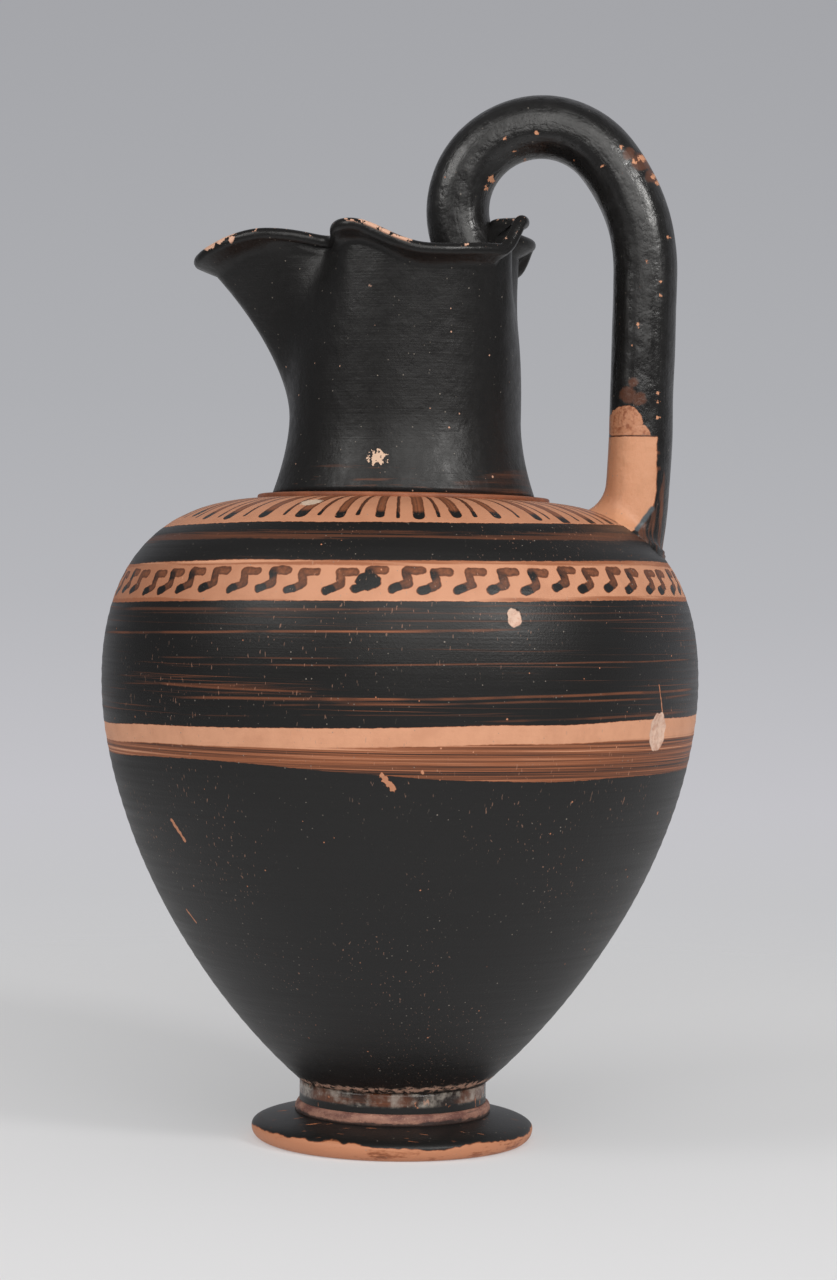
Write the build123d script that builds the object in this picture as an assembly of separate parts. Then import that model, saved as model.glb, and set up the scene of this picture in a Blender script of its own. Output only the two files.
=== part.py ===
from build123d import *

import os
from math import cos, pi, radians, sin

# Wine jug with a three-lobed mouth, in millimetres and degrees.
# It stands on z = 0 with its axis on Z, its spout towards -X and its handle towards +X.

# Foot: a turned disc with a short stem, hollowed underneath
FOOT_RADIUS = 37.7
FOOT_EDGE_HEIGHT = 3.2
FOOT_TOP_HEIGHT = 7.3
FOOT_EDGE_PULL = 2.6
FOOT_TOP_SLOPE = 13.0
FOOT_TOP_PULL = 6.0
REST_RING_OUTER = 35.0
REST_RING_WIDTH = 9.0
FOOT_HOLLOW_DEPTH = 4.5
STEM_RADIUS = 25.0
STEM_TOP = 15.6

# Bead that covers the joint at the stem's base
BEAD_REACH = 1.0
BEAD_HEIGHT = 3.0
BEAD_SIDE_SHARE = 0.6
BEAD_TOP_SHARE = 0.7

# Body: lower wall rising from the stem, round belly, flat shoulder
BELLY_RADIUS = 79.5
BELLY_HEIGHT = 123.0
SHOULDER_HEIGHT = 170.6
BODY_WALL = 4.5
FLOOR_THICKNESS = 6.0
BASE_ANGLE = 41.0
BASE_PULL = 37.6
BELLY_PULL_BELOW = 38.5
SHOULDER_FULLNESS = 0.54
SHOULDER_SLOPE = 3.5
SHOULDER_PULL = 30.0

# Neck: a flat ring on the shoulder, then a waisted wall; rises are measured from the shoulder's height
NECK_RING_RADIUS = 38.9
NECK_RING_HEIGHT = 1.2
NECK_RING_ROUND = 0.4
NECK_BASE_RADIUS = 35.2
NECK_WAIST_RADIUS = 30.9
NECK_WAIST_RISE = 21.4
NECK_WALL = 4.0
NECK_BASE_CURVE = 1.7

# Mouth: where its lobes and pinches stand, as angles from the handle (0) to the spout (180)
EAR_ANGLE = 23.0
REAR_LOBE_ANGLE = 28.0
REAR_DIP_ANGLE = 47.0
SIDE_LOBE_ANGLE = 74.0
LOBE_CORNER_ANGLE = 112.0
PINCH_ANGLE = 137.0
SPOUT_CHEEK_ANGLE = 158.0

# Radius of the wall just below the lip
HANDLE_NOTCH_RADIUS = 23.0
REAR_LOBE_RADIUS = 32.0
SIDE_LOBE_RADIUS = 32.3
LOBE_CORNER_RADIUS = 30.0
PINCH_RADIUS = 26.5
SPOUT_REACH = 51.5

# How late the wall leaves the round of the waist for its shape below the lip
LOBE_OPENING_CURVE = 3.0
PINCH_OPENING_CURVE = 3.5
SPOUT_OPENING_CURVE = 1.7

# Rise of the lip's top along its edge: two ears beside the handle, dips at the side lobes and at the spout
LIP_AT_HANDLE = 74.4
LIP_AT_EAR = 74.6
LIP_AT_REAR_DIP = 66.2
LIP_AT_SIDE_LOBE = 65.3
LIP_AT_LOBE_CORNER = 71.8
LIP_AT_PINCH = 68.8
LIP_AT_SPOUT_CHEEK = 70.9
LIP_AT_SPOUT = 64.8

# Lip: a rounded bead that turns outwards, less so where the rim folds inwards
LIP_FLARE_AT_HANDLE = 1.8
LIP_FLARE_AT_LOBES = 5.3
LIP_FLARE_AT_PINCH = 0.2
LIP_FLARE_AT_SPOUT = 6.2
LIP_THICKNESS = 4.2
LIP_DEPTH = 6.0
LIP_BEAD_START = -75.0
LIP_ROOT_SHARE = 0.15

# Rings that the neck is lofted through
RING_STEPS = 48
SEAM_ANGLE = 90.0
BASE_STEPS = 4
WALL_STEPS = 8
LIP_STEPS = 6

# Steps of the search for a height on the shoulder
HALVINGS = 30

# Handle: a rolled rod, an arch above the mouth, an outward bend, a straight leg and a root
ROD_RADIUS = 8.4
ARCH_RADIUS = 22.1
ARCH_CENTRE_X = 35.3
ARCH_CENTRE_RISE = 77.8
ARCH_START_ANGLE = 258.0
ARCH_END_ANGLE = 40.0
LEG_BEND_RADIUS = 48.0
LEG_LEAN = 0.6
ROOT_BEND_RADIUS = 260.0
ROOT_BEND_ANGLE = 9.0
ROOT_DEPTH = 16.6

# Clay worked in round the two ends of the handle
COIL_TOP_SHARE = 0.36
COIL_TOP_MARGIN = 0.5
COIL_SIDE_SHARE = 0.62
COIL_SIDE_MARGIN = 1.84
COIL_SIDE_SHIFT = 0.78
COIL_ROOT_MARGIN = 4.6
COIL_ROOT_SHIFT = 2.6
WAD_TOP_ANGLE = 196.0
WAD_TOP_MARGIN = 0.5
WAD_ROOT_MARGIN = 5.0

NECK_BASE_HEIGHT = SHOULDER_HEIGHT + NECK_RING_HEIGHT
NECK_WAIST_HEIGHT = SHOULDER_HEIGHT + NECK_WAIST_RISE
NECK_BORE = NECK_BASE_RADIUS - NECK_WALL


def turned(outline):
    """A solid turned about the jug's axis from a closed outline of edges drawn as (radius, height)."""
    return revolve(Plane.XZ * make_face(outline), Axis.Z)


def make_foot_disc():
    """Disc foot with a domed top, a rounded edge, a flat resting ring and a shallow hollow."""
    rest_inner = REST_RING_OUTER - REST_RING_WIDTH
    bead_seat = STEM_RADIUS + BEAD_REACH
    rest = Line((rest_inner, 0), (REST_RING_OUTER, 0))
    widest = Vector(FOOT_RADIUS, FOOT_EDGE_HEIGHT)
    inner_top = Vector(bead_seat, FOOT_TOP_HEIGHT)
    slope = radians(FOOT_TOP_SLOPE)
    edge = TangentArc(widest, (REST_RING_OUTER, 0), tangent=(0, -1))
    top = Bezier(
        widest,
        widest + Vector(0, FOOT_EDGE_PULL),
        inner_top + Vector(cos(slope), -sin(slope)) * FOOT_TOP_PULL,
        inner_top,
    )
    stem = Polyline(
        (bead_seat, FOOT_TOP_HEIGHT),
        (STEM_RADIUS, FOOT_TOP_HEIGHT),
        (STEM_RADIUS, STEM_TOP),
        (0, STEM_TOP),
        (0, FOOT_HOLLOW_DEPTH),
    )
    hollow = TangentArc((0, FOOT_HOLLOW_DEPTH), (rest_inner, 0), tangent=(1, 0))
    return turned([rest, edge, top, *stem.edges(), hollow])


def make_foot_fillet():
    """Half-round bead seated on the disc's top against the stem."""
    bottom = (STEM_RADIUS, FOOT_TOP_HEIGHT)
    top = (STEM_RADIUS, FOOT_TOP_HEIGHT + BEAD_HEIGHT)
    outside = (STEM_RADIUS + BEAD_REACH, FOOT_TOP_HEIGHT)
    return turned(
        [
            Line(bottom, outside),
            Bezier(
                outside,
                (outside[0], FOOT_TOP_HEIGHT + BEAD_HEIGHT * BEAD_SIDE_SHARE),
                (STEM_RADIUS + BEAD_REACH * BEAD_TOP_SHARE, top[1]),
                top,
            ),
            Line(top, bottom),
        ]
    )


def body_curves(inset):
    """Lower wall and shoulder of the body as two curves, moved inwards by the inset."""
    shrink = 1 - inset / BELLY_RADIUS
    rise = radians(BASE_ANGLE)
    slope = radians(SHOULDER_SLOPE)
    base = Vector(STEM_RADIUS - inset * sin(rise), STEM_TOP + inset * cos(rise))
    belly = Vector(BELLY_RADIUS - inset, BELLY_HEIGHT)
    top = Vector(NECK_RING_RADIUS - inset * sin(slope), SHOULDER_HEIGHT - inset * cos(slope))
    lower = Bezier(
        base,
        base + Vector(cos(rise), sin(rise)) * BASE_PULL * shrink,
        belly - Vector(0, BELLY_PULL_BELOW * shrink),
        belly,
    )
    upper = Bezier(
        belly,
        belly + Vector(0, (SHOULDER_HEIGHT - BELLY_HEIGHT) * SHOULDER_FULLNESS * shrink),
        top + Vector(cos(slope), -sin(slope)) * SHOULDER_PULL * shrink,
        top,
    )
    return lower, upper


def shoulder_surface(radius):
    """Height of the body's outside above the belly at a radius, found by halving the shoulder's curve."""
    upper = body_curves(0)[1]
    low, high = 0.0, 1.0
    for _ in range(HALVINGS):
        middle = (low + high) / 2
        if (upper @ middle).X > radius:
            low = middle
        else:
            high = middle
    return (upper @ low).Y


def make_body_plug():
    """The body's outside as a filled solid, with the flat seats for the foot and the neck ring."""
    lower, upper = body_curves(0)
    under = Polyline((0, SHOULDER_HEIGHT), (0, STEM_TOP), lower @ 0)
    seat = Line(upper @ 1, (0, SHOULDER_HEIGHT))
    return turned([*under.edges(), lower, upper, seat])


def make_body_wall(plug):
    """Thrown belly and shoulder: the plug hollowed to an even wall, a thicker floor and an open top."""
    lower, upper = body_curves(BODY_WALL)
    below = lower @ 0
    ceiling = upper @ 1
    bore = Polyline(
        ceiling,
        (NECK_BORE, ceiling.Y),
        (NECK_BORE, SHOULDER_HEIGHT),
        (0, SHOULDER_HEIGHT),
        (0, below.Y),
        below,
    )
    cavity = turned([lower, upper, *bore.edges()])
    floor = Plane.XY.offset(STEM_TOP + FLOOR_THICKNESS)
    return plug - split(cavity, floor, Keep.TOP)


def make_neck_ring():
    """Flat ring on the shoulder that carries the neck."""
    ring = Cylinder(NECK_RING_RADIUS, NECK_RING_HEIGHT) - Cylinder(NECK_BORE, NECK_RING_HEIGHT)
    ring = Pos(0, 0, SHOULDER_HEIGHT + NECK_RING_HEIGHT / 2) * ring
    rim = ring.edges().group_by(Axis.Z)[-1].sort_by(SortBy.RADIUS)[-1]
    return fillet(rim, NECK_RING_ROUND)


def around(stations, angle):
    """Value at an angle from the handle, eased between stations given as (angle, value) pairs."""
    turn = abs((angle + 180) % 360 - 180)
    for (start, first), (end, last) in zip(stations, stations[1:]):
        if turn <= end:
            share = (1 - cos(pi * (turn - start) / (end - start))) / 2
            return first + (last - first) * share
    return stations[-1][1]


def throat_radius(angle):
    """Radius of the wall just below the lip, with its three lobes and three pinches."""
    return around(
        [
            (0, HANDLE_NOTCH_RADIUS),
            (REAR_LOBE_ANGLE, REAR_LOBE_RADIUS),
            (SIDE_LOBE_ANGLE, SIDE_LOBE_RADIUS),
            (LOBE_CORNER_ANGLE, LOBE_CORNER_RADIUS),
            (PINCH_ANGLE, PINCH_RADIUS),
            (180, SPOUT_REACH),
        ],
        angle,
    )


def opening_curve(angle):
    """Power with which the wall opens from the waist to its shape below the lip."""
    return around(
        [
            (0, LOBE_OPENING_CURVE),
            (LOBE_CORNER_ANGLE, LOBE_OPENING_CURVE),
            (PINCH_ANGLE, PINCH_OPENING_CURVE),
            (180, SPOUT_OPENING_CURVE),
        ],
        angle,
    )


def lip_height(angle):
    """Height of the lip's top along the edge of the mouth."""
    return SHOULDER_HEIGHT + around(
        [
            (0, LIP_AT_HANDLE),
            (EAR_ANGLE, LIP_AT_EAR),
            (REAR_DIP_ANGLE, LIP_AT_REAR_DIP),
            (SIDE_LOBE_ANGLE, LIP_AT_SIDE_LOBE),
            (LOBE_CORNER_ANGLE, LIP_AT_LOBE_CORNER),
            (PINCH_ANGLE, LIP_AT_PINCH),
            (SPOUT_CHEEK_ANGLE, LIP_AT_SPOUT_CHEEK),
            (180, LIP_AT_SPOUT),
        ],
        angle,
    )


def lip_flare(angle):
    """Distance that the lip stands out from the wall below it."""
    return around(
        [
            (0, LIP_FLARE_AT_HANDLE),
            (REAR_LOBE_ANGLE, LIP_FLARE_AT_LOBES),
            (LOBE_CORNER_ANGLE, LIP_FLARE_AT_LOBES),
            (PINCH_ANGLE, LIP_FLARE_AT_PINCH),
            (180, LIP_FLARE_AT_SPOUT),
        ],
        angle,
    )


def neck_section(radius, height, offset):
    """Closed ring round the neck: its radius, height and sideways offset are functions of the angle."""

    def plan(angle):
        reach = radius(angle)
        return Vector(reach * cos(radians(angle)), reach * sin(radians(angle)))

    points = []
    for step in range(RING_STEPS):
        angle = SEAM_ANGLE + step * 360 / RING_STEPS
        along = plan(angle + 1) - plan(angle - 1)
        outward = Vector(along.Y, -along.X).normalized()
        place = plan(angle) + outward * offset(angle)
        points.append(Vector(place.X, place.Y, height(angle)))
    steps = [step / RING_STEPS for step in range(RING_STEPS + 1)]
    return Wire([Edge.make_spline(points, periodic=True, parameters=steps)])


def base_ring(share, inset):
    """Round ring of the flared base, from the seat (share 0) to the waist (share 1)."""
    height = NECK_BASE_HEIGHT + (NECK_WAIST_HEIGHT - NECK_BASE_HEIGHT) * share
    radius = NECK_WAIST_RADIUS + (NECK_BASE_RADIUS - NECK_WAIST_RADIUS) * (1 - share) ** NECK_BASE_CURVE
    return neck_section(lambda angle: radius, lambda angle: height, lambda angle: -inset)


def wall_ring(share, inset):
    """Ring of the opening wall, round at the waist (share 0) and three-lobed below the lip (share 1)."""

    def radius(angle):
        opening = share ** opening_curve(angle)
        return NECK_WAIST_RADIUS + (throat_radius(angle) - NECK_WAIST_RADIUS) * opening

    return neck_section(
        radius,
        lambda angle: NECK_WAIST_HEIGHT + (lip_height(angle) - LIP_DEPTH - NECK_WAIST_HEIGHT) * share,
        lambda angle: -inset,
    )


def lip_ring(flare_share, inset, drop):
    """Ring on the lip, at a share of its flare less an inset and at a drop below its top."""
    return neck_section(
        throat_radius,
        lambda angle: lip_height(angle) - drop,
        lambda angle: lip_flare(angle) * flare_share - inset,
    )


def lip_rings():
    """Rings from the wall outside, round the bead of the lip, to the wall inside."""
    bead_radius = LIP_THICKNESS / 2
    turns = [LIP_BEAD_START + step * (180 - LIP_BEAD_START) / LIP_STEPS for step in range(LIP_STEPS + 1)]
    bead = [
        lip_ring(1, bead_radius * (1 - cos(radians(turn))), bead_radius * (1 - sin(radians(turn))))
        for turn in turns
    ]
    neck_outside = lip_ring(LIP_ROOT_SHARE, 0, (LIP_DEPTH + LIP_THICKNESS) / 2)
    neck_inside = lip_ring(LIP_ROOT_SHARE, NECK_WALL, (LIP_DEPTH + bead_radius) / 2)
    return [neck_outside, *bead, neck_inside]


def make_neck_and_mouth():
    """Neck wall lofted up the outside, over the lip and down the inside, closed by a flat seat."""
    base_shares = [step / BASE_STEPS for step in range(BASE_STEPS)]
    wall_shares = [step / WALL_STEPS for step in range(WALL_STEPS + 1)]
    outside = [base_ring(share, 0) for share in base_shares]
    outside += [wall_ring(share, 0) for share in wall_shares]
    inside = [base_ring(share, NECK_WALL) for share in base_shares]
    inside += [wall_ring(share, NECK_WALL) for share in wall_shares]
    wall = Shell.make_loft([*outside, *lip_rings(), *reversed(inside)], ruled=True)
    seat = Face(outside[0], [inside[0]])
    return Solid(Shell([*wall.faces(), seat]))


def handle_path():
    """Centre line of the handle from inside the back of the mouth to below the shoulder's surface."""
    centre = (ARCH_CENTRE_X, SHOULDER_HEIGHT + ARCH_CENTRE_RISE)
    arch = CenterArc(centre, ARCH_RADIUS, ARCH_START_ANGLE, ARCH_END_ANGLE - ARCH_START_ANGLE)
    bend = JernArc(arch @ 1, arch % 1, LEG_BEND_RADIUS, -(ARCH_END_ANGLE + LEG_LEAN))
    root_drop = ROOT_BEND_RADIUS * (sin(radians(LEG_LEAN + ROOT_BEND_ANGLE)) - sin(radians(LEG_LEAN)))
    root_height = shoulder_surface(ARCH_CENTRE_X + ARCH_RADIUS) - ROOT_DEPTH
    leg_length = ((bend @ 1).Y - root_drop - root_height) / cos(radians(LEG_LEAN))
    leg = Line(bend @ 1, bend @ 1 + (bend % 1) * leg_length)
    root = JernArc(leg @ 1, leg % 1, ROOT_BEND_RADIUS, -ROOT_BEND_ANGLE)
    return arch, bend, leg, root


def upright(curve):
    """A curve drawn as (x, height) stood up in the jug's plane of symmetry."""
    return Plane.XZ * curve


def across(curve, share, radius, shift=0):
    """Circle square to a curve of the handle at a share of its length, moved towards the axis by a shift."""
    stood = upright(curve)
    place = stood.position_at(share) - Vector(shift, 0, 0)
    return Plane(place, z_dir=stood.tangent_at(share)) * Circle(radius)


def largest(shape):
    """The largest solid of a shape that a cut has parted."""
    return shape.solids().sort_by(SortBy.VOLUME)[-1]


def make_rod():
    """The whole rolled rod before its ends are fitted."""
    path = handle_path()
    line = Wire([upright(curve) for curve in path])
    return sweep(across(path[0], 0, ROD_RADIUS), path=line)


def make_handle_rod(rod, neck, plug):
    """Rod fitted to the inside of the mouth and to the shoulder."""
    return largest(rod - neck - plug)


def make_handle_rim_wad(rod, neck):
    """Pad that widens round the rod's upper end where it beds on the inside of the mouth."""
    arch = handle_path()[0]
    top_share = (ARCH_START_ANGLE - WAD_TOP_ANGLE) / (ARCH_START_ANGLE - ARCH_END_ANGLE)
    sections = [
        across(arch, 0, ROD_RADIUS + WAD_ROOT_MARGIN),
        across(arch, top_share / 2, ROD_RADIUS + (WAD_ROOT_MARGIN + WAD_TOP_MARGIN) / 2),
        across(arch, top_share, ROD_RADIUS + WAD_TOP_MARGIN),
    ]
    return largest(loft(sections) - rod - neck)


def make_handle_root_coil(rod, plug):
    """Coil that widens round the rod's lower end and feathers out on the shoulder."""
    root = handle_path()[3]
    sections = [
        across(root, 1, ROD_RADIUS + COIL_ROOT_MARGIN, COIL_ROOT_SHIFT),
        across(root, COIL_SIDE_SHARE, ROD_RADIUS + COIL_SIDE_MARGIN, COIL_SIDE_SHIFT),
        across(root, COIL_TOP_SHARE, ROD_RADIUS + COIL_TOP_MARGIN),
    ]
    return largest(loft(sections) - rod - plug)


def main():
    """Build every piece in place and write each to its own file."""
    plug = make_body_plug()
    neck = make_neck_and_mouth()
    rod = make_rod()
    pieces = {
        "foot_disc": make_foot_disc(),
        "foot_fillet": make_foot_fillet(),
        "body_wall": make_body_wall(plug),
        "neck_ring": make_neck_ring(),
        "neck_and_mouth": neck,
        "handle_rod": make_handle_rod(rod, neck, plug),
        "handle_rim_wad": make_handle_rim_wad(rod, neck),
        "handle_root_coil": make_handle_root_coil(rod, plug),
    }
    os.makedirs("parts", exist_ok=True)
    for name, piece in pieces.items():
        export_step(piece, f"parts/{name}.step")


main()
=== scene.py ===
"""Looks of a black-slipped wine jug: a turned body and foot, a pinched mouth and a rolled handle.

Lengths are in millimetres and angles in degrees until a point is placed, and angles round the jug
count from the handle (0) to the spout (180). The side that faces the camera has negative angles.
"""

import functools
import logging
import math
from dataclasses import dataclass
from enum import Enum
from typing import Callable, Iterable, Iterator, Sequence, Union

import bmesh
import bpy
from mathutils import Matrix, Vector, noise


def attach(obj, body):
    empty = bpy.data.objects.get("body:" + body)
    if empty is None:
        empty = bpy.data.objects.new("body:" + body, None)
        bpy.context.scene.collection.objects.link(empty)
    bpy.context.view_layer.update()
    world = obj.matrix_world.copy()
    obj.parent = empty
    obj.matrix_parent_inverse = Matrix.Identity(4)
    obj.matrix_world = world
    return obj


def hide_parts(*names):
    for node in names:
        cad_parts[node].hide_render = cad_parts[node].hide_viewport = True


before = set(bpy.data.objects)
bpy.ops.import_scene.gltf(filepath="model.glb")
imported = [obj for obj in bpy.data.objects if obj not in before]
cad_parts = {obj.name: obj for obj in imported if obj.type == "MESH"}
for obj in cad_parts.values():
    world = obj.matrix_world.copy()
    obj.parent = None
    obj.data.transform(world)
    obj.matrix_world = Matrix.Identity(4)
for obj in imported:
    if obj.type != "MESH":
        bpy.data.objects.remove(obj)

MM = 0.001
BODY = "root"
COLUMN_RADIUS = 10.0
LOG = logging.getLogger("jug")

Point = tuple[float, float]
Station = tuple[float, float]
Wave = tuple[float, float]
Spot = tuple[float, float, float]
Colour = tuple[float, float, float]


class Slot(Enum):
    """Names of the material slots."""

    BLACK = "black_slip"
    HANDLE = "handle_slip"
    BODY = "body_slip"
    FOOT = "foot_slip"
    PURPLE = "purple_wash"


class Node(Enum):
    """CAD nodes that the drawn pieces stand for."""

    FOOT_DISC = "foot_disc"
    FOOT_FILLET = "foot_fillet"
    BODY_WALL = "body_wall"
    NECK_RING = "neck_ring"
    NECK_AND_MOUTH = "neck_and_mouth"
    HANDLE_ROD = "handle_rod"
    HANDLE_RIM_WAD = "handle_rim_wad"
    HANDLE_ROOT_COIL = "handle_root_coil"


def math_method(operation: str, swapped: bool = False) -> Callable[..., "Value"]:
    """Method of a value for one of Python's operators.

    Args:
        operation: Operation of the Math node that stands for it.
        swapped: Whether the value is on the operator's right.

    Returns:
        The method.
    """

    def method(value: "Value", other: "Number" = 0.0) -> "Value":
        """Result of the operator."""
        pair = (other, value) if swapped else (value, other)
        return value.tree.math(operation, *pair)

    return method


class Value:
    """A socket that takes part in Python sums. Of two masks, | gives the larger and & the smaller."""

    def __init__(self, tree: "Tree", socket: bpy.types.NodeSocket) -> None:
        """Hold the socket and the tree that it belongs to."""
        self.tree = tree
        self.socket = socket

    __add__ = math_method("ADD")
    __radd__ = math_method("ADD", swapped=True)
    __sub__ = math_method("SUBTRACT")
    __rsub__ = math_method("SUBTRACT", swapped=True)
    __mul__ = math_method("MULTIPLY")
    __rmul__ = math_method("MULTIPLY", swapped=True)
    __truediv__ = math_method("DIVIDE")
    __pow__ = math_method("POWER")
    __abs__ = math_method("ABSOLUTE")
    __or__ = math_method("MAXIMUM")
    __and__ = math_method("MINIMUM")


Number = Union[Value, float]


def largest(masks: Iterable[Value]) -> Value:
    """The largest of several masks."""
    return functools.reduce(lambda one, other: one | other, masks)


def smallest(distances: Iterable[Value]) -> Value:
    """The smallest of several distances."""
    return functools.reduce(lambda one, other: one & other, distances)


class Tree:
    """Node tree of a material or a world, with short ways to add nodes to it."""

    def __init__(self, owner: Union[bpy.types.Material, bpy.types.World]) -> None:
        """Start with an empty tree.

        Args:
            owner: The material or world.
        """
        self.owner = owner
        owner.use_nodes = True
        self.nodes = owner.node_tree.nodes
        self.links = owner.node_tree.links
        self.nodes.clear()

    def node(self, kind: str, settings: dict | None = None, inputs: dict | None = None) -> bpy.types.Node:
        """Add a node.

        Args:
            kind: The node's type.
            settings: Its own settings.
            inputs: Values or links of its sockets, by name or number.

        Returns:
            The new node.
        """
        made = self.nodes.new(kind)
        for key, value in (settings or {}).items():
            setattr(made, key, value)
        for key, value in (inputs or {}).items():
            if isinstance(value, Value):
                self.links.new(value.socket, made.inputs[key])
            else:
                made.inputs[key].default_value = value
        return made

    def out(self, node: bpy.types.Node, name: Union[str, int] = 0) -> Value:
        """One output of a node as a value."""
        return Value(self, node.outputs[name])

    def parts(self, kind: str, whole: Value) -> list[Value]:
        """The three outputs of a node that takes a vector or a colour apart."""
        made = self.node(kind, inputs={0: whole})
        return [self.out(made, index) for index in range(3)]

    def math(self, operation: str, first: Number, second: Number = 0.0, third: Number = 0.0) -> Value:
        """Result of a Math node with up to three inputs."""
        inputs = {0: first, 1: second, 2: third}
        return self.out(self.node("ShaderNodeMath", {"operation": operation}, inputs))

    def length(self, across: Value, up: Value) -> Value:
        """Length of the line that goes so far across and so far up."""
        return self.math("SQRT", across * across + up * up)

    def smooth(self, value: Number, low: Number, high: Number) -> Value:
        """Rise from 0 at one limit to 1 at the other, also where the first limit is the higher."""
        inputs = {"Value": value, "From Min": low, "From Max": high}
        return self.out(self.node("ShaderNodeMapRange", {"interpolation_type": "SMOOTHSTEP"}, inputs))

    def band(self, value: Number, low: Number, high: Number, soft: float) -> Value:
        """Mask of 1 between two limits, with edges that reach a soft distance to both their sides."""
        return self.smooth(value, low - soft, low + soft) * self.smooth(value, high + soft, high - soft)

    def mapped(self, vector: Value, scale: Spot, shift: float = 0.0, turn: Spot = (0.0, 0.0, 0.0)) -> Value:
        """A vector scaled along its axes, turned by angles in radians, then moved along its last axis."""
        inputs = {"Vector": vector, "Location": (0.0, 0.0, shift), "Rotation": turn, "Scale": scale}
        return self.out(self.node("ShaderNodeMapping", inputs=inputs))

    def grain(self, along: Value) -> Value:
        """Smooth noise along one number."""
        made = self.node("ShaderNodeTexNoise", {"noise_dimensions": "1D"}, {"W": along, "Scale": 1.0})
        return self.out(made, "Fac")

    def draws(self, seed: Value) -> list[Value]:
        """Three random numbers from 0 to 1 that belong to a number."""
        made = self.node("ShaderNodeTexWhiteNoise", {"noise_dimensions": "1D"}, {"W": seed})
        return self.parts("ShaderNodeSeparateColor", self.out(made, "Color"))

    def mix(self, share: Number, first: Union[Value, Colour], second: Union[Value, Colour]) -> Value:
        """A colour between two others.

        Args:
            share: 0 for the first colour and 1 for the second.
            first: The first.
            second: The second.

        Returns:
            The colour.
        """
        colours = [item if isinstance(item, Value) else (*item, 1.0) for item in (first, second)]
        inputs = {0: share, 6: colours[0], 7: colours[1]}
        return self.out(self.node("ShaderNodeMix", {"data_type": "RGBA"}, inputs), 2)

    def ramp(self, value: Number, stops: Sequence[tuple[float, Colour]]) -> Value:
        """The colour at a value of a ramp.

        Args:
            value: The value.
            stops: Place and colour of each of the ramp's stops, in order.

        Returns:
            The colour.
        """
        made = self.node("ShaderNodeValToRGB", inputs={0: value})
        elements = made.color_ramp.elements
        while len(elements) < len(stops):
            elements.new(1.0)
        for element, (place, colour) in zip(elements, stops):
            element.position = place
            element.color = (*colour, 1.0)
        return self.out(made)

    def attribute(self, name: str, output: str = "Fac") -> Value:
        """A number, or as output "Vector" a vector, that the mesh carries at each point."""
        return self.out(self.node("ShaderNodeAttribute", {"attribute_name": name}), output)

    def segment_gap(self, across: Value, up: Value, start: Point, end: Point) -> Value:
        """Distance of a place in a plane from the straight line between two points.

        Args:
            across: First coordinate of the place.
            up: Its second coordinate.
            start: Where the line starts.
            end: Where it ends.

        Returns:
            The distance.
        """
        run, rise = end[0] - start[0], end[1] - start[1]
        span = run**2 + rise**2
        dx, dz = across - start[0], up - start[1]
        along = self.math("MULTIPLY_ADD", dx, run / span, dz * (rise / span))
        share = self.out(self.node("ShaderNodeClamp", inputs={0: along}))
        return self.length(dx - share * run, dz - share * rise)


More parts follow.
